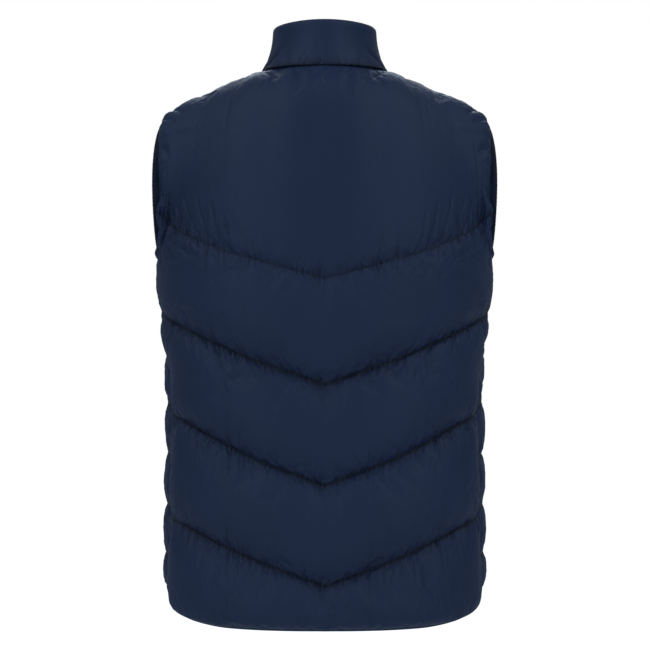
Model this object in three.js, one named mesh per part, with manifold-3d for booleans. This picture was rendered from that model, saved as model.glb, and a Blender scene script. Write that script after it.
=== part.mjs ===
// A padded, chevron-quilted body warmer, standing open and hollow as it does on a wearer.
// Millimetres. +X is the wearer's left, +Y the back, +Z up. The origin lies midway between
// the neck ends of the two shoulder seams, where the garment hangs on the shoulders.
import * as THREE from "three";
import { mergeVertices } from "three/addons/utils/BufferGeometryUtils.js";
import Module from "manifold-3d";

const wasm = await Module();
wasm.setup();

// Driving dimensions: cloth
const LINED_WALL = 3;
const SEAM_GAP = 0.3;
const BACK_CROWN = 14;
const YOKE_CROWN = 12;
const FRONT_CROWN = 7.5;
const COLLAR_CROWN = 3;
const HEM_FULLNESS = 0.3;
const BACK_REACH = 48;
const FRONT_REACH = 30;
const SHOULDER_REACH = 40;
const SEAM_REACH = 40;

// Driving dimensions: body below the underarm
const UNDERARM_Z = -245;
const SECTION_POWER = 2.25;
const SECTIONS = [
  { z: -700, halfWidth: 194, back: 131, front: 131 },
  { z: -560, halfWidth: 192, back: 130, front: 131 },
  { z: -440, halfWidth: 191, back: 129, front: 132 },
  { z: -330, halfWidth: 195.5, back: 132, front: 136 },
  { z: -245, halfWidth: 196, back: 134, front: 138 },
];
const SIDE_SEAM = [
  { z: -700, degrees: 79 },
  { z: -400, degrees: 79 },
  { z: -310, degrees: 90 },
  { z: -245, degrees: 91 },
];
const HEM = [
  { degrees: 0, z: -686 },
  { degrees: 46, z: -684 },
  { degrees: 61, z: -678.5 },
  { degrees: 69, z: -671.5 },
  { degrees: 76, z: -660 },
  { degrees: 82, z: -650 },
  { degrees: 92, z: -641 },
  { degrees: 120, z: -638 },
  { degrees: 180, z: -640 },
];

// Driving dimensions: shoulders, armholes and neckline
const SHOULDER_POINT = { x: 199, y: 0, z: -68 };
const NECK_POINT = { x: 74, y: 8, z: -5 };
const BACK_NECK = { y: 78, z: -2 };
const FRONT_NECK = { y: -97, z: -82 };
const NECK_SHARE = { back: 0.43, front: 0.53 };
const NECK_EASE = { back: 0, front: 0.37 };
const SHOULDER_ARCH = 8;
const CENTRE_RISE = {
  back: { start: 240, endY: -110, endZ: 200 },
  front: { start: 150, endY: 50, endZ: 140 },
};
const SHOULDER_ROLL = 220;
const NECK_DRAW = 150;
const CORNER_ROUNDING = 0.24;
const CORNER_POWER = 5;
const PANEL_RISE = 190;
const ARMHOLE_SCOOP = 300;
const ARMHOLE_FLARE = 24;
const UNDERARM_RISE = 60;

// Driving dimensions: stitched lines, straight in the flat panel, by the length along it, then lifted
// towards the side seam. A floor is the share of the loft that is left on a line.
const BACK_CHANNELS = { lowest: -634, step: 121.5, slope: 0.365, lifts: [6, 12, 13] };
const YOKE_SEAM = { centre: -262.5, slope: 0.27, lift: 7 };
const LIFT_FROM = 0.38;
const FRONT_SLOPE = 0.22;
const CHANNEL_FLOOR = 0.22;
const YOKE_FLOOR = 0;

// Driving dimensions: collar, binding and zip
const COLLAR_TOP = { halfWidth: 61, back: 64, front: -84, backZ: 55, sideZ: 50, frontZ: -18 };
const COLLAR_FLARE = 2.2;
const COLLAR_WALL = 3;
const BINDING = { width: 7, thickness: 5.4, gap: 1.02 };
const ZIP = { halfWidth: 8, thickness: 1.4, recess: 1.2 };
const SLIDER = { width: 10, length: 15, thickness: 3.2, drop: 15 };
const PULL = { width: 5, length: 27, thickness: 1.8, eye: 2.3, bore: 1.25, pin: 0.85 };

// Grid densities
const COLUMNS = { back: { neck: 7, shoulder: 9 }, front: { neck: 7, shoulder: 8 } };
const HALF_SECTION_STEPS = 96;
const BINDING_SIDES = 8;

const NAVY = { color: 0x212b42, roughness: 0.55, metalness: 0 };
const cloth = () => new THREE.MeshStandardMaterial(NAVY);
const darkTrim = () => new THREE.MeshStandardMaterial({ color: 0x161d2c, roughness: 0.7, metalness: 0 });
const metal = () => new THREE.MeshStandardMaterial({ color: 0x3a3d44, roughness: 0.35, metalness: 0.9 });

const radians = THREE.MathUtils.degToRad;
const clamp01 = (value) => Math.min(1, Math.max(0, value));
const mix = (a, b, share) => a + (b - a) * share;
const spread = (from, to, count) => Array.from({ length: count + 1 }, (_, i) => mix(from, to, i / count));
const smooth = (value) => clamp01(value) ** 2 * (3 - 2 * clamp01(value));

// A rounded shoulder: 0 at the seam, full height once `reach` away from it.
const plateau = (distance, reach) => Math.sqrt(1 - (1 - clamp01(distance / reach)) ** 2);

// The same, but rising gently from the seam.
const swell = (distance, reach) => Math.sin((Math.PI / 2) * clamp01(distance / reach));

// A smooth curve through the rows of a table, from one named column to another.
function tableCurve(rows, from, to) {
  const slope = (i) => {
    const low = rows[Math.max(0, i - 1)];
    const high = rows[Math.min(rows.length - 1, i + 1)];
    return (high[to] - low[to]) / (high[from] - low[from]);
  };
  return (value) => {
    const last = rows.length - 2;
    let i = 0;
    while (i < last && value > rows[i + 1][from]) i += 1;
    const width = rows[i + 1][from] - rows[i][from];
    const share = clamp01((value - rows[i][from]) / width);
    const ends = [rows[i][to], rows[i + 1][to]];
    return hermite(ends[0], slope(i) * width, ends[1], slope(i + 1) * width, share);
  };
}

// A cubic from a to b with the given end speeds.
function hermite(a, speedA, b, speedB, share) {
  const s2 = share * share;
  const s3 = s2 * share;
  const blend = 3 * s2 - 2 * s3;
  return mix(a, b, blend) + speedA * (s3 - 2 * s2 + share) + speedB * (s3 - s2);
}

const halfWidthAt = tableCurve(SECTIONS, "z", "halfWidth");
const backDepthAt = tableCurve(SECTIONS, "z", "back");
const frontDepthAt = tableCurve(SECTIONS, "z", "front");
const seamDegreesAt = tableCurve(SIDE_SEAM, "z", "degrees");
const hemAt = tableCurve(HEM, "degrees", "z");

// A point of the level section at height z, by its angle from the centre back, 0, to the front, 180.
function levelPoint(z, degrees) {
  const angle = radians(degrees);
  const depth = degrees < 90 ? backDepthAt(z) : frontDepthAt(z);
  const across = Math.abs(Math.sin(angle) / halfWidthAt(z)) ** SECTION_POWER;
  const along = Math.abs(Math.cos(angle) / depth) ** SECTION_POWER;
  const radius = (across + along) ** (-1 / SECTION_POWER);
  return new THREE.Vector3(radius * Math.sin(angle), radius * Math.cos(angle), z);
}

// Half a level section, from the middle of the back or front to the side seam, by its running length.
const halfSections = new Map();
function halfSection(side, z) {
  const key = side + z.toFixed(3);
  if (halfSections.has(key)) return halfSections.get(key);
  const start = side === "back" ? 0 : 180;
  const degrees = [];
  const lengths = [];
  let before = null;
  for (let i = 0; i <= HALF_SECTION_STEPS; i += 1) {
    degrees.push(mix(start, seamDegreesAt(z), i / HALF_SECTION_STEPS));
    const point = levelPoint(z, degrees[i]);
    lengths.push(before ? lengths[i - 1] + point.distanceTo(before) : 0);
    before = point;
  }
  const section = { degrees, lengths, total: lengths[HALF_SECTION_STEPS] };
  halfSections.set(key, section);
  return section;
}

function degreesAt(side, z, share) {
  const { degrees, lengths, total } = halfSection(side, z);
  const wanted = share * total;
  let i = 0;
  while (i < HALF_SECTION_STEPS - 1 && lengths[i + 1] < wanted) i += 1;
  return mix(degrees[i], degrees[i + 1], (wanted - lengths[i]) / (lengths[i + 1] - lengths[i]));
}

const sectionPoint = (side, z, share) => levelPoint(z, degreesAt(side, z, share));

// The neckline, by its turn from the centre back, 0, past the neck point, 90, to the front, 180.
function necklinePoint(degrees) {
  const forward = Math.cos(radians(degrees));
  const x = NECK_POINT.x * Math.sin(radians(degrees));
  if (forward > 0) {
    const z = mix(NECK_POINT.z, BACK_NECK.z, forward ** 2);
    return new THREE.Vector3(x, mix(NECK_POINT.y, BACK_NECK.y, forward), z);
  }
  const z = mix(NECK_POINT.z, FRONT_NECK.z, (-forward) ** 1.35);
  return new THREE.Vector3(x, mix(NECK_POINT.y, FRONT_NECK.y, -forward), z);
}

const SHOULDER_END = new THREE.Vector3(SHOULDER_POINT.x, SHOULDER_POINT.y, SHOULDER_POINT.z);

// The neckline's turn at a share of the half panel, up to the neck point.
function neckTurn(side, share) {
  const along = share / NECK_SHARE[side];
  const turn = 90 * (along + NECK_EASE[side] * along * (1 - along));
  return side === "back" ? turn : 180 - turn;
}

// The top edge of a panel: its half of the neckline, then the shoulder seam.
function topEdge(side, share) {
  const neck = NECK_SHARE[side];
  if (share < neck) return necklinePoint(neckTurn(side, share));
  const out = (share - neck) / (1 - neck);
  const point = necklinePoint(90).lerp(SHOULDER_END, out);
  point.z += SHOULDER_ARCH * 6.75 * out * out * (1 - out);
  return point;
}

// The top edge with its corner at the neck point rounded away, which the panel follows lower down.
function roundedTop(side, share) {
  const window = CORNER_ROUNDING * smooth((1 - share) / 0.4) * smooth(share / 0.3);
  const sum = new THREE.Vector3();
  const steps = spread(-1, 1, 8);
  steps.forEach((step) => sum.add(topEdge(side, share + window * step)));
  return sum.divideScalar(steps.length);
}

// The panel above the underarm: columns that rise from the level section to the top edge.
// Near the armhole they start along the section, so that the edge is scooped out of the panel.
function upperPoint(side, share, rise) {
  const facing = side === "back" ? 1 : -1;
  const start = sectionPoint(side, UNDERARM_Z, share);
  const inward = sectionPoint(side, UNDERARM_Z, Math.max(0, share - 0.01)).sub(start).normalize();
  const end = roundedTop(side, share);
  const corner = topEdge(side, share).sub(end).multiplyScalar(rise ** CORNER_POWER);
  const centre = CENTRE_RISE[side];
  const scoop = share ** 5;
  const overShoulder = smooth(share / NECK_SHARE[side]);
  const seamOut = clamp01((share - NECK_SHARE[side]) / (1 - NECK_SHARE[side]));
  const first = inward.multiplyScalar(ARMHOLE_SCOOP * scoop);
  first.x += ARMHOLE_FLARE * scoop;
  first.z = mix(mix(centre.start, PANEL_RISE, overShoulder), UNDERARM_RISE, scoop);
  const atCentre = new THREE.Vector3(0, centre.endY, centre.endZ);
  const along = NECK_SHARE[side] + Math.min(seamOut, 0.98) * (1 - NECK_SHARE[side]);
  const last = topEdge(side, along).sub(topEdge(side, along + 0.01)).normalize();
  last.multiplyScalar(NECK_DRAW * (1 - seamOut));
  last.x -= ARMHOLE_FLARE * scoop;
  last.y -= facing * SHOULDER_ROLL;
  last.lerp(atCentre, 1 - overShoulder);
  return new THREE.Vector3(
    hermite(start.x, first.x, end.x, last.x, rise),
    hermite(start.y, first.y, end.y, last.y, rise),
    hermite(start.z, first.z, end.z, last.z, rise),
  ).add(corner);
}

// A point of the stitched surface. The height is in millimetres: below 0 it is the drop under the
// underarm, above 0 it runs from 0 there to TOP at the top edge.
const TOP = 220;
function surfacePoint(side, share, height) {
  if (height <= 0) return sectionPoint(side, UNDERARM_Z + height, share);
  return upperPoint(side, share, height / TOP);
}

function surfaceNormal(side, share, height) {
  const step = 0.004;
  const a = surfacePoint(side, Math.max(0, share - step), height);
  const b = surfacePoint(side, Math.min(1, share + step), height);
  const low = surfacePoint(side, share, height - 0.5);
  const high = surfacePoint(side, share, Math.min(TOP, height + 0.5));
  const normal = b.sub(a).cross(high.sub(low)).normalize();
  return side === "back" ? normal.negate() : normal;
}

// The height on the surface at which a column passes the level z.
function heightOf(side, share, z) {
  if (z <= UNDERARM_Z) return z - UNDERARM_Z;
  let low = 0;
  let high = TOP;
  for (let i = 0; i < 40; i += 1) {
    const middle = (low + high) / 2;
    if (surfacePoint(side, share, middle).z < z) low = middle;
    else high = middle;
  }
  return low;
}

// The closed surface of a grid of outer and inner points, with its four edges.
function wallGeometry(outer, inner) {
  const rows = outer.length;
  const columns = outer[0].length;
  const positions = [...outer.flat(), ...inner.flat()].flatMap((p) => [p.x, p.y, p.z]);
  const indices = [];
  const skin = (layer, row, column) => layer * rows * columns + row * columns + column;
  const quad = (a, b, c, d) => indices.push(a, b, c, a, c, d);
  for (let i = 0; i < rows - 1; i += 1) {
    for (let j = 0; j < columns - 1; j += 1) {
      quad(skin(0, i, j), skin(0, i, j + 1), skin(0, i + 1, j + 1), skin(0, i + 1, j));
      quad(skin(1, i, j), skin(1, i + 1, j), skin(1, i + 1, j + 1), skin(1, i, j + 1));
    }
  }
  for (let j = 0; j < columns - 1; j += 1) {
    quad(skin(0, 0, j + 1), skin(0, 0, j), skin(1, 0, j), skin(1, 0, j + 1));
    quad(skin(0, rows - 1, j), skin(0, rows - 1, j + 1), skin(1, rows - 1, j + 1), skin(1, rows - 1, j));
  }
  for (let i = 0; i < rows - 1; i += 1) {
    const end = columns - 1;
    quad(skin(0, i, 0), skin(0, i + 1, 0), skin(1, i + 1, 0), skin(1, i, 0));
    quad(skin(0, i + 1, end), skin(0, i, end), skin(1, i, end), skin(1, i + 1, end));
  }
  return facingOut(positions, indices);
}

// A ring of sections joined into a closed loop, such as a binding round an armhole.
function loopGeometry(sections) {
  const count = sections.length;
  const sides = sections[0].length;
  const positions = sections.flat().flatMap((p) => [p.x, p.y, p.z]);
  const indices = [];
  for (let i = 0; i < count; i += 1) {
    for (let j = 0; j < sides; j += 1) {
      const next = ((i + 1) % count) * sides;
      const turn = (j + 1) % sides;
      indices.push(i * sides + j, next + j, next + turn, i * sides + j, next + turn, i * sides + turn);
    }
  }
  return facingOut(positions, indices);
}

// A geometry from points and triangles, turned round if its faces point inwards.
function facingOut(positions, indices) {
  const corner = (i) => new THREE.Vector3().fromArray(positions, 3 * indices[i]);
  let volume = 0;
  for (let i = 0; i < indices.length; i += 3) volume += corner(i).dot(corner(i + 1).cross(corner(i + 2)));
  if (volume < 0) indices.reverse();
  const geometry = new THREE.BufferGeometry();
  geometry.setAttribute("position", new THREE.Float32BufferAttribute(positions, 3));
  geometry.setIndex(indices);
  geometry.computeVertexNormals();
  return geometry;
}

// A quilted panel: the side it lies on, its seams and stitched lines from hem to top as heights over
// the share of the half panel, and between each two of them a bay, which puffs out. Each row of
// points is a bay's number and its share of the bay's height.
function panelRows({ bays }) {
  return bays.flatMap((bay, k) => bay.rows.slice(k ? 1 : 0).map((share) => ({ k, share })));
}

function rowHeight({ boundaries }, { k, share }, across) {
  return mix(boundaries[k](across), boundaries[k + 1](across), share);
}

function puffAt(panel, row, across) {
  const { side, boundaries, bays, hemmed } = panel;
  const bay = bays[row.k];
  const height = rowHeight(panel, row, across);
  const width = halfSection(side, Math.min(UNDERARM_Z, UNDERARM_Z + height)).total;
  const overLow = height - boundaries[row.k](across);
  const underHigh = boundaries[row.k + 1](across) - height;
  const isHem = hemmed && row.k === 0;
  const held = Math.max(0, 1 - (across / 0.9) ** 4);
  const lowFloor = isHem ? HEM_FULLNESS : (bay.lowFloor ?? 0) * held;
  const low = mix(lowFloor, 1, plateau(overLow, isHem ? bay.reach / 3 : bay.reach));
  const risen = mix((bay.highFloor ?? 0) * held, 1, plateau(underHigh, bay.reach));
  const high = bay.topReach ? swell(underHigh, bay.topReach) : risen;
  const besideSeam = plateau((1 - across) * width, SEAM_REACH);
  const besideZip = side === "front" ? plateau(across * width - ZIP.halfWidth, SEAM_REACH) : 1;
  return bay.crown * low * high * besideSeam * besideZip;
}

function panelGeometry(panel, signedShares) {
  const outer = [];
  const inner = [];
  panelRows(panel).forEach((row) => {
    const points = signedShares.map((signed) => {
      const across = Math.abs(signed);
      const height = rowHeight(panel, row, across);
      const base = surfacePoint(panel.side, across, height);
      const normal = surfaceNormal(panel.side, across, height);
      const turn = new THREE.Vector3(signed < 0 ? -1 : 1, 1, 1);
      const at = (out) => base.clone().addScaledVector(normal, out).multiply(turn);
      return { outer: at(puffAt(panel, row, across)), inner: at(-LINED_WALL) };
    });
    outer.push(points.map((p) => p.outer));
    inner.push(points.map((p) => p.inner));
  });
  return wallGeometry(outer, inner);
}

// Shares of a half panel, with one at the neck point, and closer together towards the side edge.
function columnShares(side, from) {
  const neck = NECK_SHARE[side];
  const beside = spread(0, 1, COLUMNS[side].shoulder).slice(1);
  const crowded = beside.map((s) => mix(neck, lastShare(side), mix(s, Math.sin((s * Math.PI) / 2), 0.6)));
  return [...spread(from, neck, COLUMNS[side].neck), ...crowded];
}

const bothSides = (shares) => [...shares.slice(1).reverse().map((s) => -s), ...shares];

// Two bays' rows as the rows of one bay, the first filling `part` of it.
function joinedRows(part, lowRows, highRows) {
  return [...lowRows.map((r) => r * part), ...highRows.slice(1).map((r) => part + r * (1 - part))];
}

const lastShare = (side) => 1 - SEAM_GAP / 2 / halfSection(side, UNDERARM_Z).total;
const hemHeight = (side) => (share) => hemAt(degreesAt(side, -650, share)) - UNDERARM_Z;
const topHeight = () => TOP - SEAM_GAP / 2;

function backLine(centre, slope, lift, shift = 0) {
  const total = halfSection("back", Math.min(UNDERARM_Z, centre)).total;
  const lifted = (share) => lift * Math.sin((Math.PI / 2) * clamp01((share - LIFT_FROM) / (1 - LIFT_FROM)));
  return (share) => heightOf("back", share, centre + slope * share * total + lifted(share)) + shift;
}

function frontLine(seamHeight) {
  const total = halfSection("front", UNDERARM_Z + seamHeight).total;
  return (share) => heightOf("front", share, UNDERARM_Z + seamHeight + FRONT_SLOPE * (1 - share) * total);
}

// The back's chevrons, and the front's lines, which meet them at the side seam, halfway between
// them and half a step past them.
const { lowest, step, slope, lifts } = BACK_CHANNELS;
const backLines = lifts.map((lift, k) => backLine(lowest + k * step, slope, lift));
const atSeam = backLines.map((line) => line(1));
const halfStep = step / 2;
const frontHeights = [atSeam[0] - halfStep];
atSeam.forEach((height, k) => {
  const above = atSeam[k + 1] ?? height + step;
  frontHeights.push(height, (height + above) / 2);
});
const frontLines = frontHeights.map(frontLine);

// Rows of a bay: crowded at its two stitched lines, where the cloth turns in sharply.
const HEM_ROWS = [0, 0.16, 0.5, 0.84, 1];
const BAY_ROWS = [0, 0.1, 0.3, 0.7, 0.9, 1];
const CHEST_ROWS = [0, 0.05, 0.14, 0.27, 0.42, 0.57, 0.71, 0.83, 0.92, 0.975, 1];
const wideRows = joinedRows(0.5, BAY_ROWS, BAY_ROWS);

// The rows of the bay beside the underarm have one on its level, where the armhole begins.
const highest = atSeam[atSeam.length - 1];
const underarmPart = -highest / halfStep;
const UNDERARM_ROWS = joinedRows(underarmPart, [0, 0.2, 0.6, 1], [0, 0.4, 0.8, 1]);

// The lower back: three stitched chevrons between the hem and the yoke seam.
function backPanelPlan() {
  const seam = backLine(YOKE_SEAM.centre, YOKE_SEAM.slope, YOKE_SEAM.lift, -SEAM_GAP / 2);
  const hem = hemHeight("back");
  const hemPart = (frontHeights[0] - hem(1)) / (atSeam[0] - hem(1));
  const topPart = halfStep / (seam(1) - highest);
  const common = { crown: BACK_CROWN, reach: BACK_REACH };
  const bayOf = (rows, lowFloor, highFloor) => ({ ...common, rows, lowFloor, highFloor });
  const bays = [bayOf(joinedRows(hemPart, HEM_ROWS, BAY_ROWS), 0, CHANNEL_FLOOR)];
  backLines.slice(1).forEach(() => bays.push(bayOf(wideRows, CHANNEL_FLOOR, CHANNEL_FLOOR)));
  bays.push(bayOf(joinedRows(topPart, UNDERARM_ROWS, [0, 0.5, 0.85, 1]), CHANNEL_FLOOR, YOKE_FLOOR));
  return { side: "back", boundaries: [hem, ...backLines, seam], bays, hemmed: true };
}

// The plain padded yoke across the shoulder blades.
function backYokePlan() {
  const seam = backLine(YOKE_SEAM.centre, YOKE_SEAM.slope, YOKE_SEAM.lift, SEAM_GAP / 2);
  const lowFloor = (YOKE_FLOOR * BACK_CROWN) / YOKE_CROWN;
  const bay = { rows: CHEST_ROWS, crown: YOKE_CROWN, reach: BACK_REACH, topReach: SHOULDER_REACH, lowFloor };
  const bays = [bay];
  return { side: "back", boundaries: [seam, topHeight], bays, hemmed: false };
}

// A front, from the zip to the side seam and armhole, with bays half as tall as the back's.
function frontPlan() {
  const bays = [{ rows: HEM_ROWS, crown: FRONT_CROWN, reach: FRONT_REACH }];
  frontLines.slice(2).forEach(() => bays.push({ rows: BAY_ROWS, crown: FRONT_CROWN, reach: FRONT_REACH }));
  bays.push({ rows: UNDERARM_ROWS, crown: FRONT_CROWN, reach: FRONT_REACH });
  bays.push({ rows: CHEST_ROWS, crown: YOKE_CROWN, reach: BACK_REACH, topReach: SHOULDER_REACH });
  return { side: "front", boundaries: [hemHeight("front"), ...frontLines, topHeight], bays, hemmed: true };
}

const backShares = columnShares("back", 0);
const zipShare = (distance) => distance / halfSection("front", UNDERARM_Z).total;
const frontShares = columnShares("front", zipShare(ZIP.halfWidth + SEAM_GAP));

const backPanel = () => new THREE.Mesh(panelGeometry(backPanelPlan(), bothSides(backShares)), cloth());
const backYoke = () => new THREE.Mesh(panelGeometry(backYokePlan(), bothSides(backShares)), cloth());

function frontPanel(sign) {
  const shares = frontShares.map((share) => share * sign);
  return new THREE.Mesh(panelGeometry(frontPlan(), shares), cloth());
}

const COLLAR_RISES = [0.012, 0.08, 0.25, 0.5, 0.75, 0.93, 1];
const collarInward = (rise) => 1 - (1 - rise) ** COLLAR_FLARE;

// A point of the collar's outer face: the turn as on the neckline, and the rise from 0 to 1.
function collarPoint(degrees, rise) {
  const base = necklinePoint(degrees);
  const forward = Math.cos(radians(degrees));
  const top = new THREE.Vector3(COLLAR_TOP.halfWidth * Math.sin(radians(degrees)), 0, 0);
  const middle = (COLLAR_TOP.back + COLLAR_TOP.front) / 2 + 14;
  const reach = forward > 0 ? COLLAR_TOP.back - middle : middle - COLLAR_TOP.front;
  top.y = middle + reach * forward;
  top.z = forward > 0
    ? mix(COLLAR_TOP.sideZ, COLLAR_TOP.backZ, forward ** 2)
    : mix(COLLAR_TOP.sideZ, COLLAR_TOP.frontZ, (-forward) ** 1.35);
  const inward = collarInward(rise);
  return new THREE.Vector3(mix(base.x, top.x, inward), mix(base.y, top.y, inward), mix(base.z, top.z, rise));
}

function collarNormal(degrees, rise) {
  const a = collarPoint(degrees - 0.5, rise);
  const b = collarPoint(degrees + 0.5, rise);
  const low = collarPoint(degrees, Math.max(0, rise - 0.02));
  const high = collarPoint(degrees, Math.min(1, rise + 0.02));
  return high.sub(low).cross(b.sub(a)).normalize();
}

// The turn at which the collar's end or the zip lies `distance` beside the centre front.
function frontTurn(distance, rise) {
  const halfWidth = mix(NECK_POINT.x, COLLAR_TOP.halfWidth, collarInward(rise));
  return 180 - THREE.MathUtils.radToDeg(Math.asin(distance / halfWidth));
}

// The collar has its points where the columns of the yoke and the fronts meet the neckline.
function collar() {
  const outer = [];
  const inner = [];
  const onNeck = (side, shares) => shares.filter((s) => s <= NECK_SHARE[side]).map((s) => neckTurn(side, s));
  const neckTurns = [...onNeck("back", backShares), ...onNeck("front", frontShares).reverse().slice(1)];
  COLLAR_RISES.forEach((rise, row) => {
    const padding = COLLAR_CROWN * mix(0.35, 1, plateau(rise, 0.2) * plateau(1 - rise, 0.15));
    const edge = frontTurn(ZIP.halfWidth + 3 * SEAM_GAP, rise);
    const at = (degrees, out) => {
      const point = collarPoint(Math.abs(degrees), rise);
      point.addScaledVector(collarNormal(Math.abs(degrees), rise), out);
      point.x *= degrees < 0 ? -1 : 1;
      return point;
    };
    const turns = [...neckTurns.slice(1, -1), edge];
    const around = [...turns.slice().reverse().map((t) => -t), 0, ...turns];
    outer.push(around.map((degrees) => at(degrees, row ? padding : 0)));
    inner.push(around.map((degrees) => at(degrees, -COLLAR_WALL)));
  });
  return new THREE.Mesh(wallGeometry(outer, inner), cloth());
}

// The edge of an armhole as a closed loop, with a point at each row of the panels round it.
function armholeEdge() {
  const onEdge = (plan) => {
    const heights = panelRows(plan).map((row) => rowHeight(plan, row, 1));
    return heights.filter((height) => height > 1 && height < TOP - 1);
  };
  const behind = [...onEdge(backPanelPlan()), ...onEdge(backYokePlan())];
  const up = behind.filter((height, i) => i === 0 || height - behind[i - 1] > 1);
  const down = onEdge(frontPlan()).reverse();
  const at = (side) => (height) => ({ side, height });
  return [at("back")(0), ...up.map(at("back")), at("back")(TOP), ...down.map(at("front"))];
}

// The binding round an armhole: an oval band just outside the edges of the back and the front.
function armholeBinding(sign) {
  const edge = armholeEdge();
  const points = edge.map(({ side, height }) => surfacePoint(side, 1, height));
  const rings = edge.map(({ side, height }, i) => {
    const before = points[(i + points.length - 1) % points.length];
    const after = points[(i + 1) % points.length];
    const inside = clamp01((height - 2) / (TOP - 4)) * (TOP - 4) + 2;
    const normal = surfaceNormal(side, 1, inside);
    const outward = normal.clone().cross(after.clone().sub(before)).normalize();
    const centre = points[i].clone().addScaledVector(outward, BINDING.gap + BINDING.width / 2);
    centre.addScaledVector(normal, -LINED_WALL / 2);
    return Array.from({ length: BINDING_SIDES }, (_, j) => {
      const turn = (2 * Math.PI * (j + 0.5)) / BINDING_SIDES;
      const corner = centre.clone().addScaledVector(outward, (BINDING.width / 2) * Math.cos(turn));
      corner.addScaledVector(normal, (BINDING.thickness / 2) * Math.sin(turn));
      corner.x *= sign;
      return corner;
    });
  });
  return new THREE.Mesh(loopGeometry(rings), darkTrim());
}

// One side of the closed zip, from the hem up the front and the collar, a little behind their faces.
function zipTape(sign) {
  const outer = [];
  const inner = [];
  const add = (points, normals) => {
    const moved = (depth) => points.map((p, i) => {
      const point = p.clone().addScaledVector(normals[i], -depth);
      point.x *= sign;
      return point;
    });
    outer.push(moved(ZIP.recess));
    inner.push(moved(ZIP.recess + ZIP.thickness));
  };
  const edges = [SEAM_GAP / 2, ZIP.halfWidth];
  const shares = edges.map(zipShare);
  const rows = panelRows(frontPlan()).map((row) => rowHeight(frontPlan(), row, shares[1]));
  rows.forEach((height) => {
    const points = shares.map((share) => surfacePoint("front", share, height));
    add(points, shares.map((share) => surfaceNormal("front", share, height)));
  });
  COLLAR_RISES.slice(1).forEach((rise) => {
    const turns = edges.map((distance) => frontTurn(distance - SEAM_GAP / 2, rise));
    add(turns.map((d) => collarPoint(d, rise)), turns.map((d) => collarNormal(d, rise)));
  });
  return new THREE.Mesh(wallGeometry(outer, inner), darkTrim());
}

const asSolid = (geometry) => {
  const bare = geometry.index ? geometry.toNonIndexed() : geometry.clone();
  bare.deleteAttribute("normal");
  bare.deleteAttribute("uv");
  const merged = mergeVertices(bare, 1e-4);
  const mesh = { numProp: 3, vertProperties: merged.attributes.position.array, triVerts: merged.index.array };
  return new wasm.Manifold(new wasm.Mesh(mesh));
};

function solidMesh(solid, material) {
  const { vertProperties, triVerts } = solid.getMesh();
  const geometry = new THREE.BufferGeometry();
  geometry.setAttribute("position", new THREE.BufferAttribute(vertProperties, 3));
  geometry.setIndex(new THREE.BufferAttribute(triVerts, 1));
  geometry.computeVertexNormals();
  return new THREE.Mesh(geometry, material);
}

// Where the slider sits: on the zip just below the collar's top edge, leaning as the collar leans.
// In its own frame +Z runs up the zip and -Y out of the garment.
function sliderPlace() {
  const rise = 1 - SLIDER.drop / (COLLAR_TOP.frontZ - FRONT_NECK.z);
  const centre = collarPoint(180, rise);
  const ahead = collarPoint(180, rise + 0.05).sub(collarPoint(180, rise - 0.05));
  const lean = Math.atan2(ahead.y, ahead.z);
  return { centre, lean };
}

const PIVOT_OUT = SLIDER.thickness + PULL.eye + 0.5;
const FACE_OUT = 2 * SEAM_GAP - ZIP.recess;

// The slider: a rounded body with two lugs and the pin that the pull tab turns on.
function zipSlider() {
  const half = SLIDER.width / 2;
  const end = SLIDER.length / 2;
  const outline = new THREE.Shape();
  outline.moveTo(-half + 2.5, -end);
  outline.lineTo(half - 2.5, -end);
  outline.quadraticCurveTo(half, 0, half, end - 3);
  outline.quadraticCurveTo(half, end, half - 3, end);
  outline.lineTo(-half + 3, end);
  outline.quadraticCurveTo(-half, end, -half, end - 3);
  outline.quadraticCurveTo(-half, 0, -half + 2.5, -end);
  const settings = { depth: SLIDER.thickness, bevelEnabled: false, curveSegments: 5 };
  const body = new THREE.ExtrudeGeometry(outline, settings);
  body.rotateX(Math.PI / 2);
  body.translate(0, -FACE_OUT, 0);
  const lugX = PULL.width / 2 + 1;
  const lugOut = PULL.eye + 1.6;
  const lugs = [-1, 1].map((side) => {
    const lug = new THREE.BoxGeometry(1.2, lugOut, 4.4);
    return lug.translate(side * lugX, -FACE_OUT - SLIDER.thickness - lugOut / 2 + 0.4, 0);
  });
  const pin = new THREE.CylinderGeometry(PULL.pin, PULL.pin, 2 * lugX + 0.6, 12);
  pin.rotateZ(Math.PI / 2);
  pin.translate(0, -FACE_OUT - PIVOT_OUT, 0);
  const solid = [...lugs, pin].reduce((joined, piece) => joined.add(asSolid(piece)), asSolid(body));
  return solidMesh(solid, metal());
}

// The pull tab: an eye round the slider's pin and a flat tongue that hangs against the zip.
function zipPull() {
  const eye = new THREE.Shape();
  eye.absarc(0, 0, PULL.eye, 0, 2 * Math.PI);
  const bore = new THREE.Path();
  bore.absarc(0, 0, PULL.bore, 0, 2 * Math.PI, true);
  eye.holes.push(bore);
  const tongue = new THREE.Shape();
  tongue.moveTo(-PULL.thickness / 2, -PULL.bore - 0.3);
  tongue.lineTo(PULL.thickness / 2, -PULL.bore - 0.3);
  tongue.lineTo(PULL.thickness / 2, -PULL.length);
  tongue.lineTo(-PULL.thickness / 2, -PULL.length);
  const settings = { depth: PULL.width, bevelEnabled: false, curveSegments: 10 };
  const [ring, plate] = [eye, tongue].map((shape) => asSolid(new THREE.ExtrudeGeometry(shape, settings)));
  const mesh = solidMesh(ring.add(plate), metal());
  mesh.geometry.translate(0, 0, -PULL.width / 2);
  mesh.geometry.rotateY(Math.PI / 2);
  mesh.geometry.rotateX(Math.PI / 2);
  return mesh;
}

const vest = new THREE.Group();
function place(name, mesh, parent = vest) {
  mesh.name = name;
  parent.add(mesh);
}

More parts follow.
